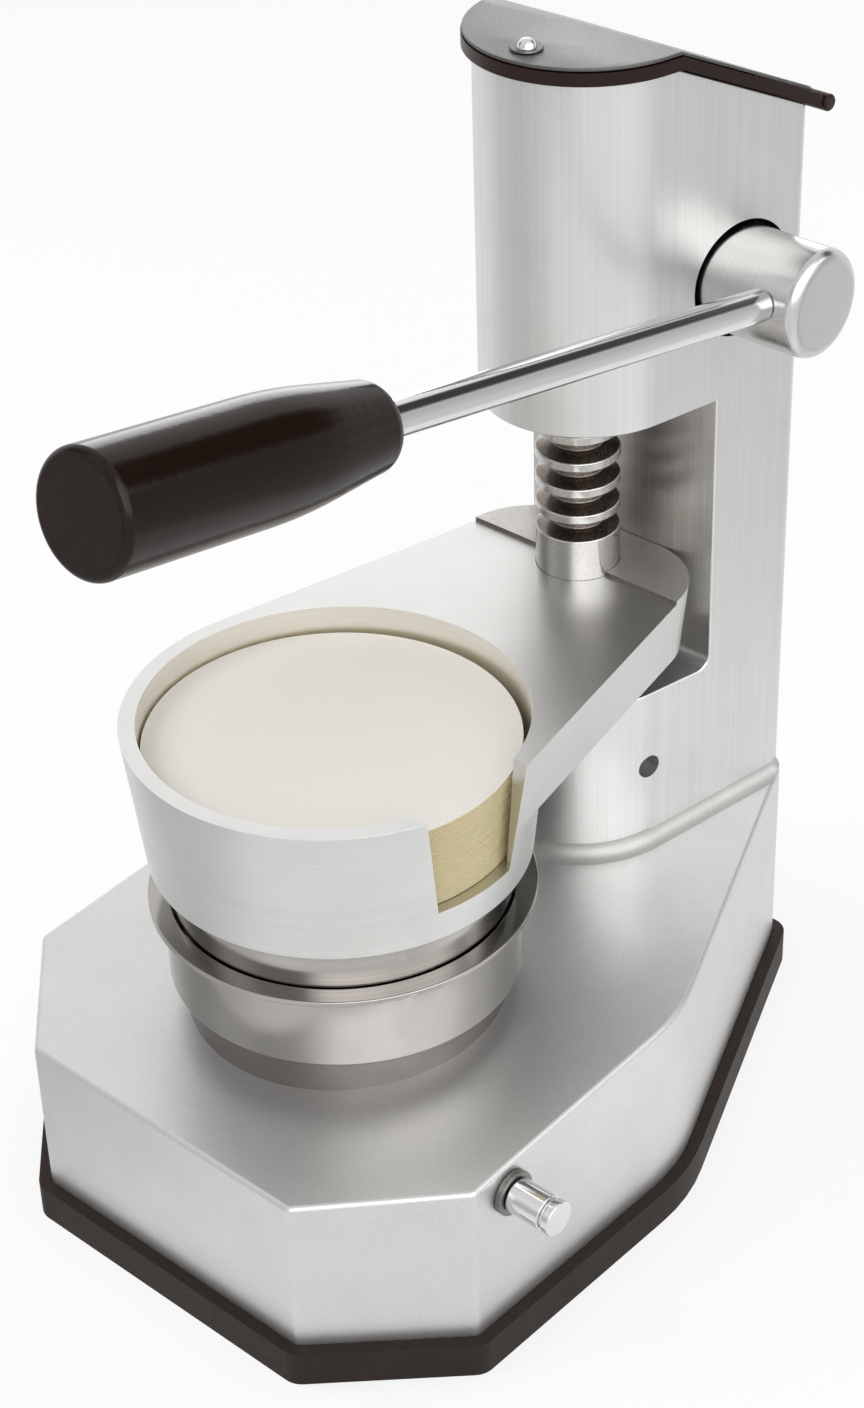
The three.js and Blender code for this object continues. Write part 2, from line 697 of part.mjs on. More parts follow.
function capPlate() {
  const bottom = seatGap + capTrimThickness + seatGap;
  const rearSetback = capBeadRadius * 2 + seatGap;
  const outline = columnOutline(capPlateSetback - capOverhang, rearSetback - capRearOverhang);
  return cut(capLayer(outline, bottom, bottom + capPlateThickness),
    rod(capScrewRadius + seatGap, 0, ceilingReach * 2, smallSteps, moved(0, capScrewPlace, 0)));
}

function capScrew() {
  const seat = headTopLevel + seatGap * 3 + capTrimThickness + capPlateThickness;
  const domeRadius = (capScrewHeadRadius ** 2 + capScrewHeadHeight ** 2) / (2 * capScrewHeadHeight);
  const steps = 4;
  const dome = [];
  for (let step = 0; step <= steps; step += 1) {
    const reach = Math.asin(capScrewHeadRadius / domeRadius) * (1 - step / steps);
    dome.push([domeRadius * Math.sin(reach),
      seat + capScrewHeadHeight - domeRadius + domeRadius * Math.cos(reach)]);
  }
  const bottom = headTopLevel - capScrewLength;
  const profile = [[0, bottom], [capScrewRadius, bottom], [capScrewRadius, seat], ...dome];
  return turned(profile, smallSteps, moved(0, capScrewPlace, 0));
}

function mouldCup() {
  const top = mouldBottomLevel + mouldHeight;
  const floor = mouldBottomLevel + mouldFloor;
  const outer = mouldBoreRadius + mouldWall;
  const bushBore = ejectorRodRadius + rodBushWall + runningGap;
  const bossRadius = bushBore + rodBushBossWall;
  const bossBottom = floor - rodBushLength - seatGap;
  const sleeveInner = sleeveRadius - sleeveWall;
  const flangeBottom = top - mouldFlangeThickness;
  const profile = [
    [bushBore, bossBottom],
    [bossRadius, bossBottom],
    [bossRadius, mouldBottomLevel],
    [sleeveInner, mouldBottomLevel],
    [sleeveInner, sleeveBottomLevel],
    [sleeveRadius, sleeveBottomLevel],
    [sleeveRadius, mouldBottomLevel],
    [outer - mouldEdgeChamfer, mouldBottomLevel],
    [outer, mouldBottomLevel + mouldEdgeChamfer],
    [outer, flangeBottom],
    [outer + mouldFlange, flangeBottom],
    [outer + mouldFlange, top],
    [mouldBoreRadius, top],
    [mouldBoreRadius, floor],
    [bushBore, floor],
    [bushBore, bossBottom],
  ];
  return cut(
    turned(profile, largeSteps),
    rod(lockRadius + seatGap, -sleeveRadius, sleeveRadius, smallSteps, atLock),
    barSlot(),
  );
}

function ejectorPlate() {
  const radius = mouldBoreRadius - ejectorEdgeGap;
  const bottom = ejectorTop - ejectorPlateThickness;
  const hole = ejectorSpigotRadius + runningGap;
  const profile = [
    [0, bottom + ejectorSpigotLength + seatGap],
    [hole, bottom + ejectorSpigotLength + seatGap],
    [hole, bottom],
    [radius, bottom],
    [radius, ejectorTop],
    [0, ejectorTop],
  ];
  return turned(profile, largeSteps);
}

function ejectorRod() {
  const shoulder = ejectorTop - ejectorPlateThickness - seatGap;
  const barTop = barPivotLevel + barPivotForward * Math.tan(barAngle) + barHalfHeight / Math.cos(barAngle);
  const tipCentre = barTop + (ejectorRodRadius + seatGap) / Math.cos(barAngle);
  const steps = 4;
  const profile = [];
  for (let step = 0; step <= steps; step += 1) {
    const turn = (Math.PI / 2) * (step / steps);
    profile.push([ejectorRodRadius * Math.sin(turn), tipCentre - ejectorRodRadius * Math.cos(turn)]);
  }
  profile.push(
    [ejectorRodRadius, shoulder],
    [ejectorSpigotRadius, shoulder],
    [ejectorSpigotRadius, shoulder + ejectorSpigotLength],
    [0, shoulder + ejectorSpigotLength],
  );
  return turned(profile, smallSteps);
}

function rodBush() {
  const top = mouldBottomLevel + mouldFloor - seatGap;
  return ring(ejectorRodRadius + runningGap, ejectorRodRadius + rodBushWall, top - rodBushLength, top,
    smallSteps);
}

// The bar is drawn level, with its pivot at the drawing's origin, and then tilted.
function ejectorBar() {
  const pinAt = Math.hypot(barReach, barMidTravel);
  const shoulder = Math.asin(barHalfHeight / barEyeRadius);
  const bar = new THREE.Shape([
    ...arcPoints(0, 0, barEyeRadius, shoulder, 2 * Math.PI - shoulder),
    new THREE.Vector2(pinAt + barTipLength, -barHalfHeight),
    new THREE.Vector2(pinAt + barTipLength, barHalfHeight),
  ]);
  const slotRadius = liftPinRadius + clevisGap;
  const quarter = Math.PI / 2;
  const slot = new THREE.Shape([
    ...arcPoints(pinAt + barSlotPlay, 0, slotRadius, -quarter, quarter),
    ...arcPoints(pinAt - barSlotPlay / 2, 0, slotRadius, quarter, 3 * quarter),
  ]);
  const tilt = new THREE.Matrix4().makeRotationX(barAngle);
  const place = moved(0, -barPivotForward, barPivotLevel, tilt.multiply(asSideView));
  return cut(
    prism(bar, -barWidth / 2, barWidth / 2, place),
    prism(slot, -barWidth, barWidth, place),
    rod(barPivotRadius + runningGap, -barWidth, barWidth, smallSteps, atPivot),
  );
}

function ejectorPivotPin() {
  const half = barWidth / 2 + clearGap + earThickness;
  const end = half + clipThickness * 3;
  const grooveRadius = barPivotRadius - clipGrooveDepth;
  const grooveStart = half + seatGap;
  const grooveEnd = grooveStart + clipThickness + seatGap * 2;
  const profile = [
    [0, -half - seatGap - pivotHeadThickness],
    [pivotHeadRadius, -half - seatGap - pivotHeadThickness],
    [pivotHeadRadius, -half - seatGap],
    [barPivotRadius, -half - seatGap],
    [barPivotRadius, grooveStart],
    [grooveRadius, grooveStart],
    [grooveRadius, grooveEnd],
    [barPivotRadius, grooveEnd],
    [barPivotRadius, end],
    [0, end],
  ];
  return turned(profile, smallSteps, atPivot);
}

// A snap ring that is open on one side, lying across the X direction.
function snapRing(innerRadius, outerRadius, start, place) {
  const gap = innerRadius;
  return cut(
    ring(innerRadius, outerRadius, start, start + clipThickness, smallSteps, place),
    block([-gap, 0, start - overrun], [gap, outerRadius * 2, start + clipThickness + overrun], place),
  );
}

function ejectorPivotClip() {
  const start = barWidth / 2 + clearGap + earThickness + seatGap * 2;
  return snapRing(barPivotRadius - clipGrooveDepth + runningGap, pivotHeadRadius, start, atPivot);
}

function liftPin() {
  const half = shaftRadius - clearGap;
  return rod(liftPinRadius, -half, half, smallSteps, moved(0, shaftOffset, liftPinLevel, sideways));
}

// The rack's ring grooves have straight flanks, like the teeth of a flat rack.
function rackShaft() {
  const bottom = liftPinLevel - shaftTailBelowPin;
  const rootRadius = rackPitchRadius - dedendum;
  const halfAtPitch = (toothPitch + backlash / 2) / 4;
  const halfAtTip = halfAtPitch + addendum * Math.tan(pressureAngle);
  const halfAtRoot = halfAtPitch - dedendum * Math.tan(pressureAngle);
  const lastGroove = hubLevel + travelDown + toothPitch * 1.5;
  const profile = [
    [0, bottom],
    [shaftRadius - shaftChamfer, bottom],
    [shaftRadius, bottom + shaftChamfer],
  ];
  for (let level = firstGrooveLevel; level < lastGroove; level += toothPitch) {
    profile.push(
      [shaftRadius, level - halfAtTip],
      [rootRadius, level - halfAtRoot],
      [rootRadius, level + halfAtRoot],
      [shaftRadius, level + halfAtTip],
    );
  }
  profile.push(
    [shaftRadius, shaftTopLevel - shaftChamfer],
    [shaftRadius - shaftChamfer, shaftTopLevel],
    [0, shaftTopLevel],
  );
  const slotHalfWidth = barWidth / 2 + clevisGap;
  return cut(
    turned(profile, slidingSteps, atShaft),
    block([-slotHalfWidth, shaftOffset - shaftRadius - overrun, 0],
      [slotHalfWidth, shaftOffset + shaftRadius + overrun, liftPinLevel + clevisDepth]),
    rod(liftPinRadius + runningGap, -shaftRadius * 2, shaftRadius * 2, smallSteps,
      moved(0, shaftOffset, liftPinLevel, sideways)),
  );
}

// One flank point of an involute tooth: the angle from the tooth's middle at a radius.
function flankAngle(radius) {
  const baseRadius = pinionPitchRadius * Math.cos(pressureAngle);
  const roll = Math.acos(Math.min(baseRadius / radius, 1));
  const involute = Math.tan(roll) - roll;
  const atPitch = Math.tan(pressureAngle) - pressureAngle;
  const halfTooth = (toothPitch - backlash) / 4 / pinionPitchRadius;
  return halfTooth + atPitch - involute;
}

function pinionOutline() {
  const rootRadius = pinionPitchRadius - dedendum;
  const baseRadius = pinionPitchRadius * Math.cos(pressureAngle);
  const flankSteps = 2;
  const radii = [rootRadius];
  for (let step = 0; step <= flankSteps; step += 1) {
    radii.push(baseRadius + (pinionTipRadius - baseRadius) * (step / flankSteps));
  }
  const shape = new THREE.Shape();
  const spot = (radius, angle) => [radius * Math.cos(angle), radius * Math.sin(angle)];
  for (let tooth = 0; tooth < pinionTeeth; tooth += 1) {
    const middle = (tooth / pinionTeeth) * 2 * Math.PI;
    const rising = radii.map((radius) => spot(radius, middle - flankAngle(radius)));
    const falling = [...radii].reverse().map((radius) => spot(radius, middle + flankAngle(radius)));
    [...rising, ...falling].forEach(([x, y], index) => {
      if (tooth === 0 && index === 0) shape.moveTo(x, y);
      else shape.lineTo(x, y);
    });
  }
  shape.closePath();
  return shape;
}

// The drawing's first tooth points at the shaft, then turns until it stands in the nearest groove.
function pinion() {
  const grooves = Math.round((hubLevel - firstGrooveLevel) / toothPitch);
  const above = firstGrooveLevel + grooves * toothPitch - hubLevel;
  const turn = new THREE.Matrix4().makeRotationX(Math.PI - above / pinionPitchRadius);
  const place = moved(0, hubOffset, hubLevel, turn.multiply(asSideView));
  const teeth = prism(pinionOutline(), -pinionWidth / 2, pinionWidth / 2, place);
  const half = pinionHalfLength();
  return cut(
    join(teeth, rod(pinionCollarRadius, -half, half, roundSteps, atLever)),
    rod(axleRadius + runningGap, -half - overrun, half + overrun, roundSteps, atLever),
    rod(pinionPinRadius + runningGap, -hubRadius * 2, hubRadius * 2, smallSteps, pinionPinPlace()),
  );
}

// The pinion's collars reach the bushes on both sides, and hold the axle endways.
function pinionHalfLength() {
  return axleShoulder() - axleBushLength - seatGap * 2;
}

function axleShoulder() {
  return columnHalfWidth(hubOffset) - hubInset;
}

function pinionPinPlace() {
  return moved((pinionWidth / 2 + pinionHalfLength()) / 2, hubOffset, hubLevel);
}

function pinionPin() {
  const half = pinionCollarRadius - seatGap;
  return rod(pinionPinRadius, -half, half, smallSteps, pinionPinPlace());
}

function leverHub() {
  const start = axleShoulder();
  const profile = [
    [0, -start],
    [axleRadius, -start],
    [axleRadius, start],
    [hubRadius, start],
    ...edgeRound(hubEdge, hubRadius - hubEdge, hubReach - hubEdge, 0, Math.PI / 2),
    [0, hubReach],
  ];
  return cut(
    turned(profile, roundSteps, atLever),
    rod(rodTenonRadius + runningGap, rodTenonStart - clearGap, hubRadius * 2, smallSteps, leverPlace()),
    rod(pinionPinRadius + runningGap, -hubRadius * 2, hubRadius * 2, smallSteps, pinionPinPlace()),
  );
}

function axleBush(side) {
  const end = axleShoulder() - seatGap;
  const ends = [side * (end - axleBushLength), side * end].sort((a, b) => a - b);
  return ring(axleRadius + runningGap, axleBushRadius, ends[0], ends[1], roundSteps, atLever);
}

// The lever is turned about its own length, which starts at the hub's axis.
function leverPlace() {
  const along = new THREE.Vector3(0, -Math.cos(leverTilt), Math.sin(leverTilt));
  const across = new THREE.Vector3(1, 0, 0);
  const basis = new THREE.Matrix4().makeBasis(across, along.clone().cross(across), along);
  return moved(rodPlane, hubOffset, hubLevel, basis);
}

function leverRod() {
  const shoulder = hubRadius + seatGap;
  const neck = gripInsertStart - seatGap;
  const end = gripInsertStart + gripInsertLength - clearGap;
  const profile = [
    [0, rodTenonStart],
    [rodTenonRadius, rodTenonStart],
    [rodTenonRadius, shoulder],
    [rodRadius, shoulder],
    [rodRadius, neck],
    [rodTenonRadius, neck],
    [rodTenonRadius, end],
    [0, end],
  ];
  return turned(profile, smallSteps, leverPlace());
}

// Points of a quarter round between two edges of a turned profile.
function edgeRound(radius, centreRadius, centreHeight, from, to) {
  const steps = 3;
  const points = [];
  for (let step = 0; step <= steps; step += 1) {
    const turn = from + (to - from) * (step / steps);
    points.push([centreRadius + radius * Math.cos(turn), centreHeight + radius * Math.sin(turn)]);
  }
  return points;
}

// The taper bends softly into the grip's full width, along a curve with the shoulder as its corner.
function shoulderBend() {
  const share = gripBlend / (gripShoulder - gripStart - gripNeckEdge);
  const curve = new THREE.QuadraticBezierCurve(
    new THREE.Vector2(gripRadius - (gripRadius - gripNeckRadius) * share, gripShoulder - gripBlend),
    new THREE.Vector2(gripRadius, gripShoulder),
    new THREE.Vector2(gripRadius, gripShoulder + gripBlend),
  );
  const steps = 4;
  return curve.getPoints(steps).map((point) => [point.x, point.y]);
}

function grip() {
  const bore = rodRadius + runningGap;
  const pocket = rodTenonRadius + gripInsertWall + runningGap;
  const pocketStart = gripInsertStart - seatGap;
  const pocketEnd = gripInsertStart + gripInsertLength + seatGap;
  const quarter = Math.PI / 2;
  const profile = [
    [bore, gripStart],
    ...edgeRound(gripNeckEdge, gripNeckRadius - gripNeckEdge, gripStart + gripNeckEdge, -quarter, 0),
    ...shoulderBend(),
    ...edgeRound(gripEdge, gripRadius - gripEdge, gripEnd - gripEdge, 0, quarter),
    [0, gripEnd],
    [0, pocketEnd],
    [pocket, pocketEnd],
    [pocket, pocketStart],
    [bore, pocketStart],
    [bore, gripStart],
  ];
  return turned(profile, slidingSteps, leverPlace());
}

function gripInsert() {
  return ring(rodTenonRadius + runningGap, rodTenonRadius + gripInsertWall, gripInsertStart,
    gripInsertStart + gripInsertLength, smallSteps, leverPlace());
}

// How far the arm's sides lean inwards from its top to its underside, as steeply as the cup's.
function armDraft() {
  const lean = (cupRadius - cupBottomRadius) / (armTopLevel - cupBottomLevel);
  return (armThickness + tailStep) * lean;
}

// The arm seen from above: its sides leave the cup and narrow to a round-cornered tail at the spine.
function armOutline() {
  const rear = spineFront - slideGap;
  const away = Math.hypot(armRearHalfWidth, rear);
  const lean = Math.atan2(armRearHalfWidth, rear);
  const start = Math.PI / 2 - lean - Math.acos(cupRadius / away);
  const blend = armBlendRadius + armDraft();
  const corners = [
    { x: cupRadius * Math.cos(start), y: cupRadius * Math.sin(start), radius: blend },
    { x: armRearHalfWidth, y: rear, radius: tailCornerRadius },
  ];
  const left = corners.map((corner) => ({ ...corner, x: -corner.x })).reverse();
  return roundedOutline([...corners, ...left]);
}

// The cup's finger notch, wider at the top, as a bar that runs outwards through the wall.
function fingerNotch() {
  const shape = new THREE.Shape([
    new THREE.Vector2(-notchBottomWidth / 2, cupFloorLevel),
    new THREE.Vector2(notchBottomWidth / 2, cupFloorLevel),
    new THREE.Vector2(notchTopWidth / 2, armTopLevel),
    new THREE.Vector2(notchTopWidth / 2, armTopLevel + overrun),
    new THREE.Vector2(-notchTopWidth / 2, armTopLevel + overrun),
    new THREE.Vector2(-notchTopWidth / 2, armTopLevel),
  ]);
  return prism(shape, 0, cupRadius * 2, new THREE.Matrix4().makeRotationZ(notchTurn).multiply(asSideView));
}

function pressArm() {
  const stepAt = shaftOffset - stepForward;
  const screwLevel = armTopLevel - armScrewDrop;
  const cup = turned([
    [0, cupBottomLevel],
    [cupBottomRadius, cupBottomLevel],
    [cupRadius, armTopLevel],
    [0, armTopLevel],
  ], largeSteps);
  const beam = cut(
    draftedPrism(armOutline(), armTopLevel - armThickness, armTopLevel + tailStep, armDraft()),
    block([-baseHalfWidth, -baseFront, armTopLevel], [baseHalfWidth, stepAt, ceilingReach]),
  );
  return cut(
    join(cup, beam),
    rod(cupBoreRadius, cupFloorLevel, ceilingReach, largeSteps),
    fingerNotch(),
    rod(shaftRadius + runningGap, 0, ceilingReach, slidingSteps, atShaft),
    rod(plateScrewRadius + seatGap, 0, ceilingReach, smallSteps),
    rod(plateScrewHeadRadius + seatGap, cupFloorLevel - plateScrewHeadHeight - seatGap, ceilingReach,
      smallSteps),
    rod(armScrewRadius + runningGap, 0, shaftOffset, smallSteps,
      moved(0, shaftOffset, screwLevel, rearwards)),
  );
}

function armSetscrew() {
  const start = shaftRadius + seatGap;
  return rod(armScrewRadius, start, start + armScrewLength, smallSteps,
    moved(0, shaftOffset, armTopLevel - armScrewDrop, rearwards));
}

function pressPlate() {
  const top = cupBottomLevel - seatGap;
  const floor = pressPlateBottomLevel + pressPlateFloor;
  const inner = pressPlateRadius - pressPlateWall;
  const bore = plateScrewRadius + runningGap;
  const boreBottom = pressPlateBottomLevel + plateScrewTipRise - clearGap;
  const profile = [
    [0, pressPlateBottomLevel],
    [pressPlateRadius, pressPlateBottomLevel],
    [pressPlateRadius, top],
    [inner, top],
    [inner, floor],
    [pressPlateBossRadius, floor],
    [pressPlateBossRadius, top],
    [bore, top],
    [bore, boreBottom],
    [0, boreBottom],
  ];
  return turned(profile, largeSteps);
}

function plateScrew() {
  const top = cupFloorLevel - seatGap;
  const seat = cupFloorLevel - plateScrewHeadHeight;
  const bottom = pressPlateBottomLevel + plateScrewTipRise;
  const profile = [
    [0, bottom],
    [plateScrewRadius, bottom],
    [plateScrewRadius, seat],
    [plateScrewHeadRadius, seat],
    [plateScrewHeadRadius, top],
    [0, top],
  ];
  return turned(profile, smallSteps);
}

function paperStack() {
  return rod(paperRadius, cupFloorLevel + seatGap, armTopLevel - paperTopDrop, largeSteps);
}

// Half of the lock pin's tip is cut away, so that a quarter turn frees the sleeve.
function lockPin() {
  const wallEnd = baseHalfWidth + seatGap + lockBushFlange + seatGap;
  const grooveEnd = lockKnobEnd - lockKnobGrooveInset;
  const grooveStart = grooveEnd - lockKnobGrooveWidth;
  const clipGroove = lockRadius - clipGrooveDepth;
  const profile = [
    [0, lockTip],
    [lockRadius, lockTip],
    [lockRadius, lockClipStart - seatGap],
    [clipGroove, lockClipStart - seatGap],
    [clipGroove, lockClipStart + clipThickness + seatGap],
    [lockRadius, lockClipStart + clipThickness + seatGap],
    [lockRadius, wallEnd],
    [lockKnobRadius, wallEnd],
    [lockKnobRadius, grooveStart],
    [lockRadius, grooveStart],
    [lockRadius, grooveEnd],
    [lockKnobRadius, grooveEnd],
    [lockKnobRadius, lockKnobEnd],
    [0, lockKnobEnd],
  ];
  return cut(
    turned(profile, smallSteps, atLock),
    block([lockTip - overrun, -lockOffset - lockRadius * 2, lockLevel - lockRadius * 2],
      [lockFlatEnd, -lockOffset + lockRadius * 2, lockLevel]),
  );
}

function lockBush() {
  const inner = lockRadius + runningGap;
  const start = baseHalfWidth - lockBushLength;
  const flange = baseHalfWidth + seatGap;
  const profile = [
    [inner, start],
    [lockBushRadius, start],
    [lockBushRadius, flange],
    [lockBushFlangeRadius, flange],
    [lockBushFlangeRadius, flange + lockBushFlange],
    [inner, flange + lockBushFlange],
    [inner, start],
  ];
  return turned(profile, smallSteps, atLock);
}

function lockClip() {
  const inner = lockRadius - clipGrooveDepth + runningGap;
  return snapRing(inner, inner + lockClipWall, lockClipStart, atLock);
}

// Finishes.
function finish(color, roughness, metalness) {
  return new THREE.MeshStandardMaterial({ color, roughness, metalness });
}

const castAluminium = finish('#d0d0ce', 0.45, 0.9);
const polishedSteel = finish('#c4c4c6', 0.15, 1);
const chromedSteel = finish('#d8d9db', 0.1, 1);
const darkSteel = finish('#6c6a68', 0.4, 0.9);
const bronze = finish('#b08d57', 0.35, 1);
const blackRubber = finish('#2d2725', 0.8, 0);
const blackPlastic = finish('#231c1a', 0.25, 0);
const greyPlate = finish('#a9a8a5', 0.5, 0.7);
const waxedPaper = finish('#dfdcd5', 0.7, 0);

const burgerPress = new THREE.Group();

function add(name, solid, material) {
  const mesh = new THREE.Mesh(geometryOf(solid), material);
  mesh.name = name;
  burgerPress.add(mesh);
}

add('base_housing', baseHousing(), castAluminium);
add('base_mat', baseMat(), blackRubber);
add('bottom_plate', bottomPlate(), polishedSteel);
pillarPlaces.forEach((place, index) => {
  add(`bottom_screw_${index + 1}`, bottomScrew(place), darkSteel);
});
add('column', column(), castAluminium);
columnScrewPlaces.forEach((place, index) => {
  add(`column_screw_${index + 1}`, columnScrew(place), darkSteel);
});
add('foot_bush', footBush(), bronze);
add('head_bush', headBush(), bronze);
add('bush_setscrew', bushSetscrew(), darkSteel);
add('cap_trim', capTrim(), blackPlastic);
add('cap_plate', capPlate(), greyPlate);
add('cap_screw', capScrew(), chromedSteel);
add('mould_cup', mouldCup(), polishedSteel);
add('rod_bush', rodBush(), bronze);
add('ejector_plate', ejectorPlate(), polishedSteel);
add('ejector_rod', ejectorRod(), chromedSteel);
add('ejector_bar', ejectorBar(), darkSteel);
add('ejector_pivot_pin', ejectorPivotPin(), chromedSteel);
add('ejector_pivot_clip', ejectorPivotClip(), darkSteel);
add('rack_shaft', rackShaft(), chromedSteel);
add('lift_pin', liftPin(), darkSteel);
add('press_arm', pressArm(), castAluminium);
add('arm_setscrew', armSetscrew(), darkSteel);
add('press_plate', pressPlate(), polishedSteel);
add('press_plate_screw', plateScrew(), darkSteel);
add('paper_stack', paperStack(), waxedPaper);
add('lever_hub', leverHub(), polishedSteel);
add('pinion', pinion(), darkSteel);
add('pinion_pin', pinionPin(), darkSteel);
add('axle_bush_right', axleBush(1), bronze);
add('axle_bush_left', axleBush(-1), bronze);
add('lever_rod', leverRod(), chromedSteel);
add('lever_grip', grip(), blackPlastic);
add('grip_insert', gripInsert(), bronze);
add('lock_bush', lockBush(), polishedSteel);
add('lock_pin', lockPin(), chromedSteel);
add('lock_clip', lockClip(), darkSteel);

export default burgerPress;
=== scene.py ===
"""Looks of a manual lever burger press, built round its solids.

Sizes are written in millimetres, as in the part, and meshes are made in metres.
+Z is up, +Y is the rear, +X is the lever's side, and the origin lies on the ground under the mould's axis.
"""

import logging
import math
from collections.abc import Callable, Iterable, Sequence
from dataclasses import dataclass, replace
from enum import Enum, IntEnum

import bmesh
import bpy
from mathutils import Matrix, Vector


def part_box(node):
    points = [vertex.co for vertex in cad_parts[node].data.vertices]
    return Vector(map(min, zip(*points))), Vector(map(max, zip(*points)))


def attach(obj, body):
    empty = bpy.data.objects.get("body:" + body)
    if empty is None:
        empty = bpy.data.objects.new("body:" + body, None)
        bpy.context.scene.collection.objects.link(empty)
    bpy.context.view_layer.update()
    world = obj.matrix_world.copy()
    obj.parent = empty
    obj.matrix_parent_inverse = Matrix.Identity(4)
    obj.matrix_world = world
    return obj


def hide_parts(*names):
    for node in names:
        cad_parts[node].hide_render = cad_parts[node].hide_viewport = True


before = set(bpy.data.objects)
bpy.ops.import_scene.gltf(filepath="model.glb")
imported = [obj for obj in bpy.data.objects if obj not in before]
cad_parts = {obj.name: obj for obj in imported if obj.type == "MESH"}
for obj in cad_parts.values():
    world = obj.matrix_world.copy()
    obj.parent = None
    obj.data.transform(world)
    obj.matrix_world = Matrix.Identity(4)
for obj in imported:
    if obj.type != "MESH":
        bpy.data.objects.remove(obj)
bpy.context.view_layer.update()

LOG = logging.getLogger("burger_press")

MM = 0.001
FINE_SIDES = 144
SMALL_SIDES = 72
ARC_STEP = math.radians(3)
SMALLEST_RADIUS = 0.5
# Edges that turn by more stay crisp, and only those are rounded.
SHARP_ANGLE = math.radians(34)
# Faces that turn by less are one flat face.
FLAT_ANGLE = math.radians(0.2)
# A profile's corner whose half angle is larger is nearly straight, and stays as it is.
STRAIGHT_HALF = math.radians(80)
# A rounding takes up at most this share of a side.
SIDE_SHARE = 0.45
# Past any piece, for cuts that go right through.
FAR = 400.0
# A point this near to a level or surface lies on it, and a normal this far along an axis faces that way.
ON_LEVEL = 0.01
NEAR = 0.3
FACING = 0.8
# A face whose normal rises or falls by less than this stands upright.
UPRIGHT = 0.3
# A point this far from a surface is clear of it.
CLEAR = 1.0

# Where the shaft, the lever's axle and the lock have their axes.
SHAFT_Y = 105.4
AXLE_Y, AXLE_Z = 133.575, 253.6
LOCK_Y, LOCK_Z = -28.6, 56.1

Point = tuple[float, float]
Height = Callable[[float, float], float]


# Small tools for meshes.


@dataclass(frozen=True)
class Corner:
    """One corner of an outline, with the radius that rounds it."""

    x: float
    y: float
    radius: float


def flat(level: float) -> Height:
    """A height that is the same everywhere."""
    return lambda x, y: level


def arc(x: float, y: float, radius: float, start: float, end: float, step: float = ARC_STEP) -> list[Point]:
    """Points of an arc.

    Args:
        x: Centre, in mm.
        y: Centre, in mm.
        radius: Radius, in mm.
        start: First angle, in radians.
        end: Last angle, in radians.
        step: Largest angle between two points.

    Returns:
        The points from start to end.
    """
    count = max(2, math.ceil(abs(end - start) / step))
    turns = [start + (end - start) * index / count for index in range(count + 1)]
    return [(x + radius * math.cos(turn), y + radius * math.sin(turn)) for turn in turns]


def rounded_corner(before: Point, corner: Corner, after: Point) -> list[Point]:
    """The arc that rounds one corner of an anticlockwise outline.

    Args:
        before: The point before the corner.
        corner: The corner before rounding.
        after: The point after it.

    Returns:
        The arc's points.
    """
    here = Vector((corner.x, corner.y))
    to_before = (Vector(before) - here).normalized()
    to_after = (Vector(after) - here).normalized()
    half = math.acos(max(-1.0, min(1.0, to_before.dot(to_after)))) / 2
    centre = here + (to_before + to_after).normalized() * (corner.radius / math.sin(half))
    run = corner.radius / math.tan(half)
    first = here + to_before * run - centre
    last = here + to_after * run - centre
    start = math.atan2(first.y, first.x)
    sweep = (math.atan2(last.y, last.x) - start) % (2 * math.pi)
    return arc(centre.x, centre.y, corner.radius, start, start + sweep, ARC_STEP * 2)


def rounded_outline(corners: Sequence[Corner]) -> list[Point]:
    """A closed outline through corners, each rounded.

    Args:
        corners: Anticlockwise corners.

    Returns:
        The outline's points.
    """
    points: list[Point] = []
    for index, corner in enumerate(corners):
        before, after = corners[index - 1], corners[(index + 1) % len(corners)]
        points += rounded_corner((before.x, before.y), corner, (after.x, after.y))
    return points


def inset_corners(corners: Sequence[Corner], inset: float) -> list[Corner]:
    """The same corners moved inwards, or outwards where the inset is negative.

    Args:
        corners: Anticlockwise corners.
        inset: Even distance, in mm.

    Returns:
        The moved corners.
    """
    sides = []
    for index, corner in enumerate(corners):
        after = corners[(index + 1) % len(corners)]
        along = Vector((after.x - corner.x, after.y - corner.y)).normalized()
        sides.append((along, Vector((corner.x, corner.y)) + Vector((-along.y, along.x)) * inset))
    moved = []
    for index, corner in enumerate(corners):
        last_along, last_start = sides[index - 1]
        along, start = sides[index]
        apart = start - last_start
        run = (apart.x * along.y - apart.y * along.x) / (last_along.x * along.y - last_along.y * along.x)
        point = last_start + last_along * run
        moved.append(Corner(point.x, point.y, max(corner.radius - inset, SMALLEST_RADIUS)))
    return moved


def with_points_at(outline: Sequence[Point], y: float) -> list[Point]:
    """The outline with a point wherever it crosses one value of y.

    Args:
        outline: Points of a closed outline, in mm.
        y: The value, in mm.

    Returns:
        The points, with the new ones among them.
    """
    points: list[Point] = []
    for index, (x0, y0) in enumerate(outline):
        x1, y1 = outline[(index + 1) % len(outline)]
        points.append((x0, y0))
        if (y0 - y) * (y1 - y) < 0:
            points.append((x0 + (x1 - x0) * (y - y0) / (y1 - y0), y))
    return points


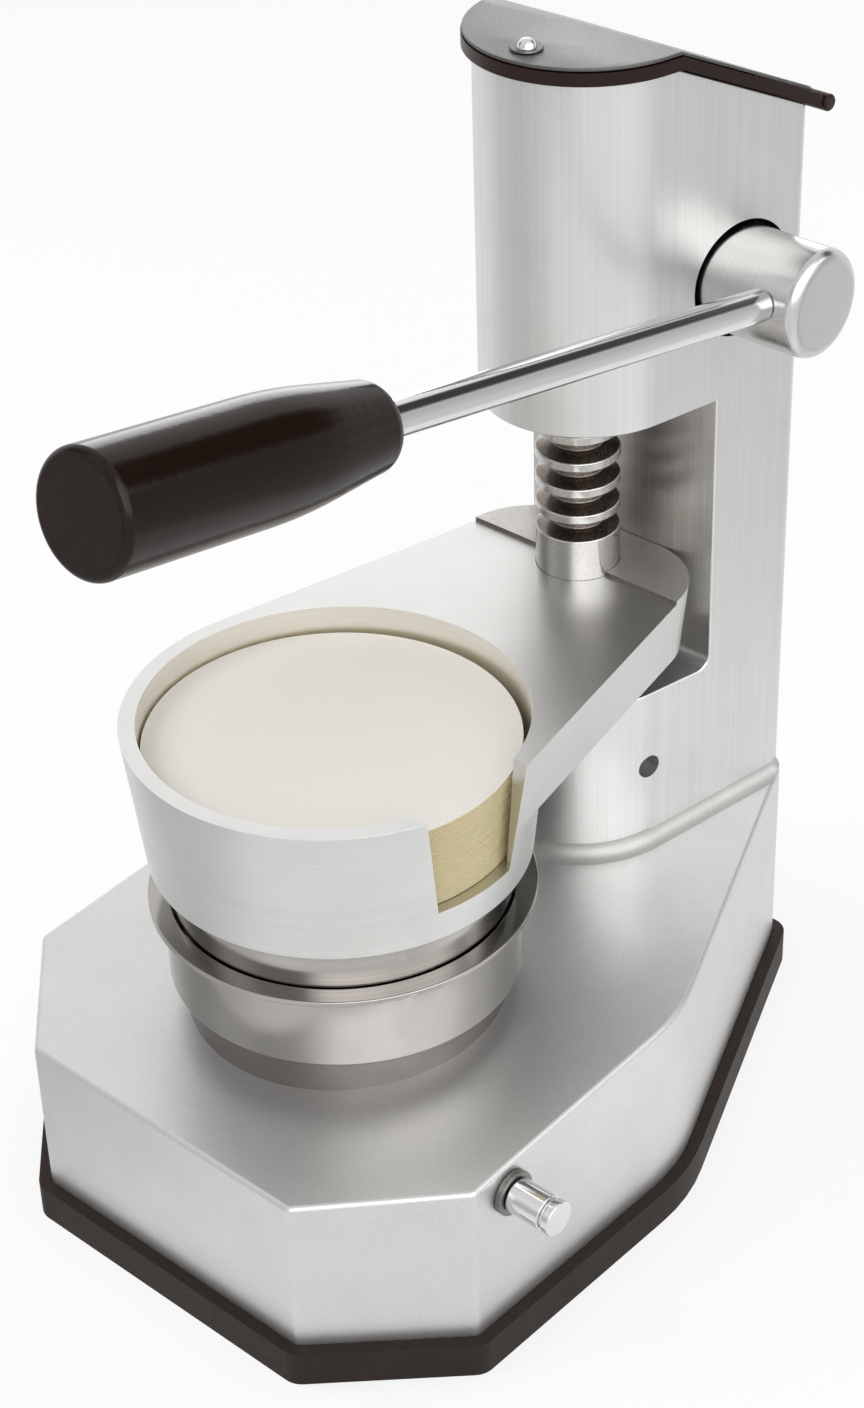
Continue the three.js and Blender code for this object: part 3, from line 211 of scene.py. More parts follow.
def piece(name: str, vertices: Iterable[Sequence[float]], faces: Iterable[Sequence[int]],
          place: Matrix | None = None) -> bpy.types.Object:
    """A new object at the origin, its place in its mesh.

    Args:
        name: The object's name.
        vertices: Points in mm.
        faces: Vertex indices of each face.
        place: Where the drawing goes, in mm.

    Returns:
        The object, linked to the scene.
    """
    scale = Matrix.Scale(MM, 4) @ (place or Matrix.Identity(4))
    mesh = bpy.data.meshes.new(name)
    mesh.from_pydata([scale @ Vector(vertex) for vertex in vertices], [], list(faces))
    shell = bmesh.new()
    shell.from_mesh(mesh)
    bmesh.ops.recalc_face_normals(shell, faces=shell.faces)
    shell.to_mesh(mesh)
    shell.free()
    made = bpy.data.objects.new(name, mesh)
    bpy.context.scene.collection.objects.link(made)
    return made


def prism(name: str, outline: Sequence[Point], low: Height, high: Height,
          crease: float | None = None, place: Matrix | None = None) -> bpy.types.Object:
    """An outline pushed up between two heights.

    Args:
        name: The object's name.
        outline: Anticlockwise points in mm.
        low: Lower height at a point.
        high: Upper height at a point.
        crease: The value of y where both ends bend, if they do.
        place: Where the drawing goes, in mm.

    Returns:
        The closed solid.
    """
    points = list(outline) if crease is None else with_points_at(outline, crease)
    count = len(points)
    vertices = [(x, y, low(x, y)) for x, y in points] + [(x, y, high(x, y)) for x, y in points]
    faces = [(i, (i + 1) % count, count + (i + 1) % count, count + i) for i in range(count)]
    rings = [list(range(count))]
    if crease is not None:
        first, second = [i for i, (x, y) in enumerate(points) if math.isclose(y, crease, abs_tol=1e-6)]
        rings = [list(range(first, second + 1)), list(range(second, count)) + list(range(first + 1))]
    faces += [tuple(reversed(ring)) for ring in rings]
    faces += [tuple(count + i for i in ring) for ring in rings]
    return piece(name, vertices, faces, place)


def lathe(name: str, profile: Sequence[Point], place: Matrix | None = None,
          sides: int = FINE_SIDES) -> bpy.types.Object:
    """A turned solid.

    Args:
        name: The object's name.
        profile: Radius and height of each point, from the axis back to it, or a closed ring.
        place: Where the axis goes, in mm.
        sides: Steps round the axis.

    Returns:
        The closed solid.
    """
    closed = profile[0] == profile[-1] and profile[0][0] > 0
    rows = list(profile[:-1] if closed else profile)
    vertices: list[tuple[float, float, float]] = []
    starts: list[int] = []
    for radius, height in rows:
        starts.append(len(vertices))
        turns = range(sides) if radius > 0 else range(1)
        vertices += [(radius * math.cos(2 * math.pi * k / sides), radius * math.sin(2 * math.pi * k / sides),
                      height) for k in turns]
    faces: list[tuple[int, ...]] = []
    pairs = list(zip(range(len(rows)), range(1, len(rows)))) + ([(len(rows) - 1, 0)] if closed else [])
    for first, second in pairs:
        for k in range(sides):
            after = (k + 1) % sides
            here = [starts[first] + k, starts[first] + after] if rows[first][0] > 0 else [starts[first]]
            there = [starts[second] + after, starts[second] + k] if rows[second][0] > 0 else [starts[second]]
            if len(here) + len(there) > 2:
                faces.append(tuple(here + there))
    return piece(name, vertices, faces, place)


def bend(first: Vector, corner: Vector, last: Vector, steps: int) -> list[Point]:
    """A smooth curve between two points that heads for the corner between them.

    Args:
        first: Where it starts.
        corner: The corner that it rounds.
        last: Where it ends.
        steps: Its number of chords.

    Returns:
        Its points.
    """
    points: list[Point] = []
    for step in range(steps + 1):
        share = step / steps
        point = first * (1 - share) ** 2 + corner * 2 * share * (1 - share) + last * share ** 2
        points.append((point.x, point.y))
    return points


def soft_profile(profile: Sequence[Point], radius: float, steps: int = 4) -> list[Point]:
    """A turned profile with its corners rounded, so that each edge catches the light.

    Args:
        profile: Radius and height of each point.
        radius: Rounding in mm, less where a side is short.
        steps: Chords of each rounding.

    Returns:
        The softer profile.
    """
    closed = profile[0] == profile[-1] and profile[0][0] > 0
    points = [Vector(point) for point in (profile[:-1] if closed else profile)]
    soft: list[Point] = []
    for index, point in enumerate(points):
        if not closed and index in (0, len(points) - 1):
            soft.append((point.x, point.y))
            continue
        before = points[index - 1] - point
        after = points[(index + 1) % len(points)] - point
        half = before.angle(after, math.pi) / 2
        if half > STRAIGHT_HALF:
            soft.append((point.x, point.y))
            continue
        run = min(radius / math.tan(half), before.length * SIDE_SHARE, after.length * SIDE_SHARE)
        soft += bend(point + before.normalized() * run, point, point + after.normalized() * run, steps)
    if closed:
        soft.append(soft[0])
    return soft


def settled(made: bpy.types.Object) -> bpy.types.Object:
    """Turns an object's modifiers into plain mesh.

    Args:
        made: The object.

    Returns:
        The same object.
    """
    graph = bpy.context.evaluated_depsgraph_get()
    mesh = bpy.data.meshes.new_from_object(made.evaluated_get(graph), depsgraph=graph)
    made.modifiers.clear()
    old, made.data = made.data, mesh
    mesh.name = made.name
    bpy.data.meshes.remove(old)
    return made


def combined(made: bpy.types.Object, others: Iterable[bpy.types.Object],
             operation: str = "DIFFERENCE") -> bpy.types.Object:
    """One solid cut by others, or joined to them, which are then gone.

    Args:
        made: The solid that stays.
        others: The solids that cut it or join it.
        operation: DIFFERENCE, UNION or INTERSECT.

    Returns:
        The solid that stays.
    """
    for other in others:
        change = made.modifiers.new("change", "BOOLEAN")
        change.operation = operation
        change.solver = "EXACT"
        change.object = other
        settled(made)
        bpy.data.objects.remove(other)
    return made


def softened(made: bpy.types.Object, width: float, chosen: Callable[[Vector, Vector], bool] | None = None,
             segments: int = 3) -> bpy.types.Object:
    """The solid with its sharp edges rounded.

    Args:
        made: The solid.
        width: Rounding in mm.
        chosen: Says from an edge's two ends, in mm, whether it is rounded.
        segments: Chords of each rounding.

    Returns:
        The same solid.
    """
    shell = bmesh.new()
    shell.from_mesh(made.data)
    bmesh.ops.dissolve_limit(shell, angle_limit=FLAT_ANGLE, verts=shell.verts, edges=shell.edges)
    weights = shell.edges.layers.float
    weight = weights.get("bevel_weight_edge") or weights.new("bevel_weight_edge")
    for edge in shell.edges:
        sharp = len(edge.link_faces) == 2 and edge.calc_face_angle(0) > SHARP_ANGLE
        wanted = chosen is None or chosen(edge.verts[0].co / MM, edge.verts[1].co / MM)
        edge[weight] = 1.0 if sharp and wanted else 0.0
    shell.to_mesh(made.data)
    shell.free()
    bevel = made.modifiers.new("edges", "BEVEL")
    bevel.width = width * MM
    bevel.segments = segments
    bevel.limit_method = "WEIGHT"
    bevel.use_clamp_overlap = True
    bevel.harden_normals = False
    return settled(made)


def smooth(made: bpy.types.Object) -> bpy.types.Object:
    """Gives a solid smooth curves, crisp edges and even shading on its flats.

    Args:
        made: The solid.

    Returns:
        The same solid.
    """
    for polygon in made.data.polygons:
        polygon.use_smooth = True
    made.data.set_sharp_from_angle(angle=SHARP_ANGLE)
    even = made.modifiers.new("shading", "WEIGHTED_NORMAL")
    even.keep_sharp = True
    even.weight = 100
    return settled(made)


def moved(x: float = 0.0, y: float = 0.0, z: float = 0.0, turn: Matrix | None = None) -> Matrix:
    """A place in mm, with a turn first."""
    return Matrix.Translation((x, y, z)) @ (turn.to_4x4() if turn else Matrix.Identity(4))


SIDEWAYS = Matrix.Rotation(math.pi / 2, 3, "Y")
REARWARDS = Matrix.Rotation(-math.pi / 2, 3, "X")
# A drawing in y and z, pushed along x.
SIDE_VIEW = Matrix(((0, 0, 1), (1, 0, 0), (0, 1, 0)))
AT_SHAFT = moved(0, SHAFT_Y, 0)
AT_AXLE = moved(0, AXLE_Y, AXLE_Z, SIDEWAYS)
AT_LOCK = moved(0, LOCK_Y, LOCK_Z, SIDEWAYS)


def stacked(start: float, *rounds: tuple[float, float]) -> list[Point]:
    """The profile of rounds that stand on each other on one axis.

    Args:
        start: Lower end of the first, in mm.
        rounds: Radius and upper end of each, in mm.

    Returns:
        The points, from the axis back to it.
    """
    profile, low = [(0.0, start)], start
    for radius, high in rounds:
        profile += [(radius, low), (radius, high)]
        low = high
    return [*profile, (0.0, low)]


def rod(name: str, radius: float, low: float, high: float, place: Matrix | None = None,
        sides: int = SMALL_SIDES) -> bpy.types.Object:
    """A plain round bar."""
    return lathe(name, stacked(low, (radius, high)), place, sides)


def block(name: str, low: Sequence[float], high: Sequence[float]) -> bpy.types.Object:
    """A box between two corners in mm."""
    outline = [(low[0], low[1]), (high[0], low[1]), (high[0], high[1]), (low[0], high[1])]
    return prism(name, outline, flat(low[2]), flat(high[2]))


def bore(radius: float, low: float = -FAR, high: float = FAR, place: Matrix | None = None,
         sides: int = SMALL_SIDES) -> bpy.types.Object:
    """A solid that cuts a round bore, right through unless its ends are given."""
    return rod("bore", radius, low, high, place, sides)


def bore_at(node: str, radius: float, low: float = -FAR, high: float = FAR) -> bpy.types.Object:
    """An upright bore on the middle of a CAD node, for the screw or pin that stands there.

    Args:
        node: The node's name.
        radius: Radius in mm.
        low: Lower end in mm.
        high: Upper end in mm.

    Returns:
        The bore, as a solid to cut with.
    """
    near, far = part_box(node)
    return bore(radius, low, high, moved((near[0] + far[0]) / 2 / MM, (near[1] + far[1]) / 2 / MM, 0))


def bores_at(stem: str, count: int, radius: float, low: float = -FAR, high: float = FAR
             ) -> list[bpy.types.Object]:
    """Upright bores on the nodes with a common stem, numbered from one."""
    return [bore_at(f"{stem}_{number}", radius, low, high) for number in range(1, count + 1)]


# Finishes.


def new_material(name: str) -> bpy.types.Material:
    """A material with an empty node tree.

    Args:
        name: The material's name.

    Returns:
        The material.
    """
    material = bpy.data.materials.new(name)
    material.use_nodes = True
    material.node_tree.nodes.clear()
    return material


def linear(code: str) -> tuple[float, float, float, float]:
    """A hex sRGB colour in linear terms.

    Args:
        code: The six digits after their sign.

    Returns:
        Red, green, blue and full alpha.
    """
    parts = [int(code[index:index + 2], 16) / 255 for index in (1, 3, 5)]
    bent = [part / 12.92 if part <= 0.04045 else ((part + 0.055) / 1.055) ** 2.4 for part in parts]
    return bent[0], bent[1], bent[2], 1.0


def add_node(tree: bpy.types.NodeTree, kind: str, inputs: dict[str | int, object] | None = None,
             **settings: object) -> bpy.types.Node:
    """Adds one node to a tree.

    Args:
        tree: The material's, world's or modifier's tree.
        kind: The node's type.
        inputs: Socket names or numbers, each with a value or an output socket to link.
        settings: Attributes of the node.

    Returns:
        The node.
    """
    node = tree.nodes.new(kind)
    for name, value in settings.items():
        setattr(node, name, value)
    for name, value in (inputs or {}).items():
        if isinstance(value, bpy.types.NodeSocket):
            tree.links.new(value, node.inputs[name])
        else:
            node.inputs[name].default_value = value
    return node


class Grain(Enum):
    """How a surface was made, which sets the run of its marks."""

    BLASTED = "blasted"
    BRUSHED_UP = "brushed upwards"
    BRUSHED_BACK = "brushed front to rear"
    TURNED = "turned"


@dataclass(frozen=True)
class Surface:
    """A finish whose marks are drawn by a noise pattern at a real size.

    The noise varies the colour, the roughness and the relief together.
    """

    name: str
    colour: str
    shade: str
    roughness: float
    metallic: float = 1.0
    spread: float = 0.08
    grain: Grain = Grain.BLASTED
    size: float = 0.5
    length: float = 30.0
    relief: float = 0.1
    centre: tuple[float, float, float] = (0.0, 0.0, 0.0)
    turn: tuple[float, float, float] = (0.0, 0.0, 0.0)
    cloud: float = 18.0
    specular: float = 0.5

    def pattern(self, tree: bpy.types.NodeTree) -> bpy.types.NodeSocket:
        """The coordinates that the marks follow.

        Args:
            tree: The material's tree.

        Returns:
            A vector output.
        """
        where = add_node(tree, "ShaderNodeTexCoord").outputs["Object"]
        fine, long = 1 / (self.size * MM), 1 / (self.length * MM)
        if self.grain is Grain.TURNED:
            centred = add_node(tree, "ShaderNodeMapping", {
                "Vector": where, "Location": Vector(self.centre) * -MM}, vector_type="POINT")
            turned = add_node(tree, "ShaderNodeMapping", {
                "Vector": centred.outputs[0], "Rotation": self.turn}, vector_type="POINT")
            parts = add_node(tree, "ShaderNodeSeparateXYZ", {0: turned.outputs[0]})
            across = add_node(tree, "ShaderNodeCombineXYZ", {
                "X": parts.outputs["X"], "Y": parts.outputs["Y"]})
            reach = add_node(tree, "ShaderNodeVectorMath", {0: across.outputs[0]}, operation="LENGTH")
            rings = add_node(tree, "ShaderNodeCombineXYZ", {
                "X": reach.outputs["Value"], "Y": parts.outputs["Z"]})
            scaled = add_node(tree, "ShaderNodeVectorMath", {0: rings.outputs[0], 1: (fine, fine, fine)},
                              operation="MULTIPLY")
            return scaled.outputs[0]
        scale = {Grain.BLASTED: (fine, fine, fine), Grain.BRUSHED_UP: (fine, fine, long),
                 Grain.BRUSHED_BACK: (fine, long, fine)}[self.grain]
        return add_node(tree, "ShaderNodeMapping", {"Vector": where, "Scale": scale}).outputs[0]

    def material(self) -> bpy.types.Material:
        """Builds the material, or finds it where it is already built.

        Returns:
            The material.
        """
        if self.name in bpy.data.materials:
            return bpy.data.materials[self.name]
        material = new_material(self.name)
        tree = material.node_tree
        marks = add_node(tree, "ShaderNodeTexNoise", {
            "Vector": self.pattern(tree), "Scale": 1.0, "Detail": 3.0, "Roughness": 0.6})
        where = add_node(tree, "ShaderNodeTexCoord").outputs["Object"]
        clouds = add_node(tree, "ShaderNodeTexNoise", {
            "Vector": where, "Scale": 1 / (self.cloud * MM), "Detail": 2.0, "Roughness": 0.5})
        both = add_node(tree, "ShaderNodeMix", {
            "Factor": 0.3, "A": marks.outputs["Fac"], "B": clouds.outputs["Fac"]}, data_type="FLOAT")
        level = add_node(tree, "ShaderNodeMapRange", {
            "Value": both.outputs["Result"], "From Min": 0.3, "From Max": 0.7})
        tint = add_node(tree, "ShaderNodeMix", {
            "Factor": level.outputs["Result"], "A": linear(self.shade), "B": linear(self.colour)},
            data_type="RGBA")
        rough = add_node(tree, "ShaderNodeMapRange", {
            "Value": both.outputs["Result"], "From Min": 0.3, "From Max": 0.7,
            "To Min": self.roughness + self.spread / 2, "To Max": self.roughness - self.spread / 2})
        bump = add_node(tree, "ShaderNodeBump", {
            "Height": marks.outputs["Fac"], "Strength": self.relief, "Distance": self.size * MM})
        shader = add_node(tree, "ShaderNodeBsdfPrincipled", {
            "Base Color": tint.outputs["Result"], "Roughness": rough.outputs["Result"],
            "Metallic": self.metallic, "Specular IOR Level": self.specular, "Normal": bump.outputs["Normal"]})
        add_node(tree, "ShaderNodeOutputMaterial", {"Surface": shader.outputs["BSDF"]})
        return material


# Cast aluminium, fine-blasted and clear anodised: an even pale grey with a soft sheen and a fine speckle.
CASTING = Surface("blasted_anodised_aluminium", "#D8D8D7", "#CCCCCB", 0.4, metallic=0.88, size=0.7,
                  relief=0.07)
# The column's walls, brushed upwards before anodising: faint long streaks that draw each reflection out.
WALL = Surface("brushed_anodised_aluminium", "#DBDBDA", "#D0D0CF", 0.38, metallic=0.96,
               grain=Grain.BRUSHED_UP, size=1.4, length=160.0, relief=0.025, spread=0.06)
# The fillet round the foot: rougher than the walls, and darker in colour as painted shade that dims its
# highlight.
SHADED_FILLET = replace(CASTING, name="dull_cast_aluminium_painted_shade", colour="#BEBEBC", shade="#B2B2B0", roughness=0.54)
# Turned aluminium darkened as painted shade: on the side of the mould's seat, and as a painted shadow line on
# the arm's step face.
PAINTED_SHADE = Surface("turned_aluminium_painted_shade", "#8A8583", "#6F6A68", 0.34, grain=Grain.TURNED, size=0.5, relief=0.05)
# The same metal milled flat: it mirrors its surroundings more, with faint lines from front to rear.
MILLED = Surface("milled_aluminium", "#D4D4D3", "#C8C8C7", 0.32, metallic=0.86, grain=Grain.BRUSHED_BACK,
                 size=0.4, length=26.0, relief=0.04, spread=0.08)
# The arm's tail, left as it came from the mould: duller, with a coarser skin.
RAW_CASTING = Surface("raw_cast_aluminium", "#CBC9C6", "#B8B5B1", 0.46, metallic=0.85, size=1.0, relief=0.2)
# The spine's face, brushed upwards: long fine streaks.
SPINE = Surface("brushed_aluminium", "#D6D4D1", "#BDBAB6", 0.32, metallic=0.92, grain=Grain.BRUSHED_UP,
                size=0.6, length=45.0, relief=0.05)
# The cup, turned on a lathe: faint rings round it.
CUP = Surface("turned_aluminium", "#DADAD8", "#CECECC", 0.36, grain=Grain.TURNED, size=0.5, relief=0.04)
# The cup's inside: paler and warmer than the cup, a painted reflection of the white paper discs.
CUP_INSIDE_PAINTED_REFLECTION = replace(CUP, name="aluminium_painted_paper_reflection", colour="#F3F1EB", shade="#E9E6DD", roughness=0.4,
                     metallic=0.85)
# Stainless steel, spun and polished: clear reflections, drawn a little along its rings.
STAINLESS = Surface("polished_stainless_steel", "#B5B2AF", "#9E9B98", 0.14, grain=Grain.TURNED, size=0.4,
                    relief=0.03, spread=0.06)
# The hub, turned from the same steel and left satin.
HUB_STEEL = replace(STAINLESS, name="satin_stainless_steel", colour="#CFCECD", shade="#BEBDBB",
                    roughness=0.24, centre=(0.0, AXLE_Y, AXLE_Z), turn=(0.0, -math.pi / 2, 0.0))
# Chrome on polished steel: near-mirror.
CHROME = Surface("chromed_steel", "#DAD9D8", "#CFCDCC", 0.08, size=0.8, relief=0.01, spread=0.03)
# The shaft, ground and not plated: a little darker and softer than chrome.
GROUND_STEEL = replace(CHROME, name="ground_steel", colour="#BFBDBB", shade="#ABA9A6", roughness=0.15)
# Steel darkened to brown-grey as painted shade in the rack's grooves, with a glossy sheen.
SHADED_GROOVES = Surface("steel_painted_groove_shade", "#8F8781", "#665F5A", 0.26, size=0.9, relief=0.04, spread=0.12)
# Plain steel with a thin skin of oil, on the small fittings.
OILED_STEEL = Surface("oiled_steel", "#8B8986", "#6C6966", 0.32, size=0.6, relief=0.08)
# Sintered bronze: dull gold-brown.
BRONZE = Surface("bearing_bronze", "#B8925A", "#9A7442", 0.34, size=0.5, relief=0.05)
# Sheet aluminium, etched grey: flat and slightly grainy.
CAP_PLATE = Surface("etched_grey_aluminium", "#717170", "#5F5F5E", 0.42, size=0.6, relief=0.14)
# Phenolic moulding, buffed: near black with a warm tint and crisp reflections.
BAKELITE = Surface("bakelite", "#21150E", "#180F0A", 0.12, metallic=0.0, size=2.5, relief=0.02, spread=0.04,
                   specular=0.2, cloud=9.0)
# Moulded plastic: the same warm black, satin.
TRIM = Surface("moulded_black_plastic", "#2B1A13", "#20130E", 0.34, metallic=0.0, size=0.5, relief=0.05,
               spread=0.1, specular=0.2)
# Rubber: matt black-brown with a dusty skin.
RUBBER = Surface("black_rubber", "#2B211B", "#1F1713", 0.6, metallic=0.0, size=0.6, relief=0.3, spread=0.15,
                 specular=0.22)
# Waxed paper: warm white with a faint soft sheen.
PAPER = Surface("waxed_paper", "#EFEBE3", "#E9E5DB", 0.5, metallic=0.0, size=0.5, relief=0.04, specular=0.4)
# The discs' cut edges seen together: dull straw yellow.
PAPER_EDGE = Surface("cut_paper_edge", "#DCCFA4", "#CFC092", 0.75, metallic=0.0, size=0.45, relief=0.15,
                     specular=0.3)


def dress(made: bpy.types.Object, *surfaces: Surface, pick: Callable[[Vector, Vector], int] | None = None
          ) -> bpy.types.Object:
    """Gives an object its finishes.

    Args:
        made: The object.
        surfaces: One finish for each slot.
        pick: The slot's number from a face's middle, in mm, and its normal.

    Returns:
        The same object.
    """
    made.data.materials.clear()
    for surface in surfaces:
        made.data.materials.append(surface.material())
    if pick:
        for polygon in made.data.polygons:
            polygon.material_index = pick(polygon.center / MM, polygon.normal)
    return made


def put(made: bpy.types.Object, body: str, slot: str, *nodes: str) -> bpy.types.Object:
    """Lets a finished piece ride on a body and stand for CAD nodes.

    Args:
        made: The piece.
        body: The CAD body it moves with.
        slot: The record's material slot; not used.
        nodes: The CAD nodes it stands for.

    Returns:
        The piece.
    """
    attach(made, body)
    if nodes:
        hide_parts(*nodes)
    LOG.info("%s rides on %s, %d faces", made.name, body, len(made.data.polygons))
    return made


# Copies of what repeats.


def repeat_tree(surface: Surface) -> bpy.types.NodeTree:
    """Builds the tree that stacks copies of a mesh along an axis, each a little off its place.

    Args:
        surface: The finish of every copy.

    Returns:
        The tree, with named inputs for its sizes.
    """
    tree = bpy.data.node_groups.new("stacked_copies", "GeometryNodeTree")
    tree.interface.new_socket("Geometry", in_out="INPUT", socket_type="NodeSocketGeometry")
    for name, kind in (("Count", "NodeSocketInt"), ("Pitch", "NodeSocketFloat"),
                       ("Wander", "NodeSocketFloat"), ("Seed", "NodeSocketInt"), ("Weld", "NodeSocketFloat")):
        tree.interface.new_socket(name, in_out="INPUT", socket_type=kind)
    tree.interface.new_socket("Geometry", in_out="OUTPUT", socket_type="NodeSocketGeometry")
    given = add_node(tree, "NodeGroupInput").outputs
    step = add_node(tree, "ShaderNodeCombineXYZ", {"Z": given["Pitch"]})
    line = add_node(tree, "GeometryNodeMeshLine", {"Count": given["Count"], "Offset": step.outputs[0]})
    across = add_node(tree, "ShaderNodeCombineXYZ", {"X": given["Wander"], "Y": given["Wander"]})
    back = add_node(tree, "ShaderNodeVectorMath", {0: across.outputs[0], "Scale": -1.0}, operation="SCALE")
    stray = add_node(tree, "FunctionNodeRandomValue", {
        0: back.outputs[0], 1: across.outputs[0], "Seed": given["Seed"]}, data_type="FLOAT_VECTOR")
    spread = add_node(tree, "GeometryNodeSetPosition", {
        "Geometry": line.outputs[0], "Offset": stray.outputs[0]})
    copies = add_node(tree, "GeometryNodeInstanceOnPoints", {
        "Points": spread.outputs[0], "Instance": given["Geometry"]})
    real = add_node(tree, "GeometryNodeRealizeInstances", {"Geometry": copies.outputs[0]})
    welded = add_node(tree, "GeometryNodeMergeByDistance", {
        "Geometry": real.outputs[0], "Distance": given["Weld"]})
    dressed = add_node(tree, "GeometryNodeSetMaterial", {
        "Geometry": welded.outputs[0], "Material": surface.material()})
    add_node(tree, "NodeGroupOutput", {"Geometry": dressed.outputs[0]})
    return tree


def repeated(made: bpy.types.Object, surface: Surface, count: int, pitch: float, wander: float = 0.0,
             seed: int = 0, weld: float = 0.0) -> bpy.types.Object:
    """Stacks copies of a mesh upwards.

    Args:
        made: The first copy.
        surface: The finish of every copy.
        count: How many copies.
        pitch: Distance between copies in mm.
        wander: How far a copy may lie off its place in mm.
        seed: Fixed seed of that wander.
        weld: Distance in mm within which corners become one.

    Returns:
        The same object, with all copies as plain mesh.
    """
    tree = repeat_tree(surface)
    change = made.modifiers.new("copies", "NODES")
    change.node_group = tree
    values = {"Count": count, "Pitch": pitch * MM, "Wander": wander * MM, "Seed": seed, "Weld": weld * MM}
    for socket in tree.interface.items_tree:
        if socket.in_out == "INPUT" and socket.name in values:
            change[socket.identifier] = values[socket.name]
    return settled(made)


# The sub-assemblies.


@dataclass
class Base:
    """The eight-sided base casting, its rubber mat and the plate under it."""

    half_width: float = 87.0
    front_half_width: float = 51.0
    front: float = 78.5
    chamfer_end: float = 43.0
    side_end: float = 47.5
    rear: float = 157.0
    rear_half_width: float = 40.56
    corner_radius: float = 3.0
    bend_radius: float = 60.0
    inner_bend_radius: float = 16.0
    top_level: float = 67.4
    top_slope: float = 0.0581
    bottom: float = 2.8
    wall: float = 5.0
    top_wall: float = 6.0
    edge: float = 1.5
    edge_segments: int = 4
    seat_radius: float = 47.5
    seat_bottom: float = 60.0
    seat_top: float = 76.4
    seat_edge: float = 0.8
    sleeve_bore: float = 28.7
    shaft_bore: float = 13.5
    mat_proud: float = 3.9
    mat_height: float = 11.6
    mat_floor: float = 2.5
    mat_gap: float = 0.3
    mat_edge: float = 0.9
    lock_bore: float = 6.1
    lock_bore_start: float = -30.0
    clip_bore: float = 7.4
    clip_room: tuple[float, float] = (66.0, 75.0)
    column_screws: int = 4
    column_screw_bore: float = 4.15
    column_screw_ends: tuple[float, float] = (50.0, 90.0)
    bottom_screws: int = 6
    bottom_screw_bore: float = 4.3

    def corners(self, bend_radius: float) -> list[Corner]:
        """The outline's eight corners.

        Args:
            bend_radius: Radius of the bend in each side, in mm.

        Returns:
            The corners, anticlockwise.
        """
        right = [(self.front_half_width, -self.front, self.corner_radius),
                 (self.half_width, -self.chamfer_end, self.corner_radius),
                 (self.half_width, self.side_end, bend_radius),
                 (self.rear_half_width, self.rear, self.corner_radius)]
        left = [(-x, y, radius) for x, y, radius in reversed(right)]
        return [Corner(*corner) for corner in right + left]

    def outline(self, inset: float = 0.0) -> list[Point]:
        """The outline from above, moved inwards by an inset in mm."""
        return rounded_outline(inset_corners(self.corners(self.bend_radius), inset))

    def inner_outline(self) -> list[Point]:
        """The outline of the hollow, whose bends are tighter to make room for the plate."""
        return rounded_outline(inset_corners(self.corners(self.inner_bend_radius), self.wall))

    def top(self, lift: float = 0.0) -> Height:
        """The sloping top's height, lifted by some mm."""
        return lambda x, y: self.top_level + y * self.top_slope + lift

    def casting(self) -> bpy.types.Object:
        """The box with its rounded top edge, hollow below, and the round seat of the mould.

        Returns:
            The casting.
        """
        body = prism("base_casting", self.outline(), flat(self.bottom), self.top())
        softened(body, self.edge, lambda a, b: min(a.z, b.z) > self.bottom + NEAR, self.edge_segments)
        seat = stacked(self.seat_bottom, (self.seat_radius, self.seat_top))
        combined(body, [lathe("seat", soft_profile(seat, self.seat_edge))], "UNION")
        hollow = prism("hollow", self.inner_outline(), flat(0), self.top(-self.top_wall))
        cuts = [hollow, bore(self.sleeve_bore, sides=FINE_SIDES), bore(self.shaft_bore, place=AT_SHAFT),
                bore(self.lock_bore, self.lock_bore_start, place=AT_LOCK),
                bore(self.clip_bore, *self.clip_room, AT_LOCK),
                *bores_at("column_screw", self.column_screws, self.column_screw_bore,
                          *self.column_screw_ends)]
        return smooth(combined(body, cuts))

    def mat(self) -> bpy.types.Object:
        """The rubber tray under the casting.

        Returns:
            The mat.
        """
        tray = prism("rubber_mat", self.outline(-self.mat_proud), flat(0), flat(self.mat_height))
        pocket = prism("pocket", self.outline(-self.mat_gap), flat(self.mat_floor), flat(FAR))
        combined(tray, [pocket, *bores_at("bottom_screw", self.bottom_screws, self.bottom_screw_bore)])
        return smooth(softened(tray, self.mat_edge))

    def build(self) -> None:
        """Builds and dresses the base."""
        def pick(middle: Vector, normal: Vector) -> int:
            """The seat's side, in painted shade, or the casting."""
            on_seat = self.top()(middle.x, middle.y) + NEAR < middle.z < self.seat_top - self.seat_edge
            return 1 if on_seat and math.hypot(middle.x, middle.y) > self.seat_radius - CLEAR else 0

        put(dress(self.casting(), CASTING, PAINTED_SHADE, pick=pick), "frame", "cast_aluminium", "base_housing")
        put(dress(self.mat(), RUBBER), "frame", "rubber", "base_mat")


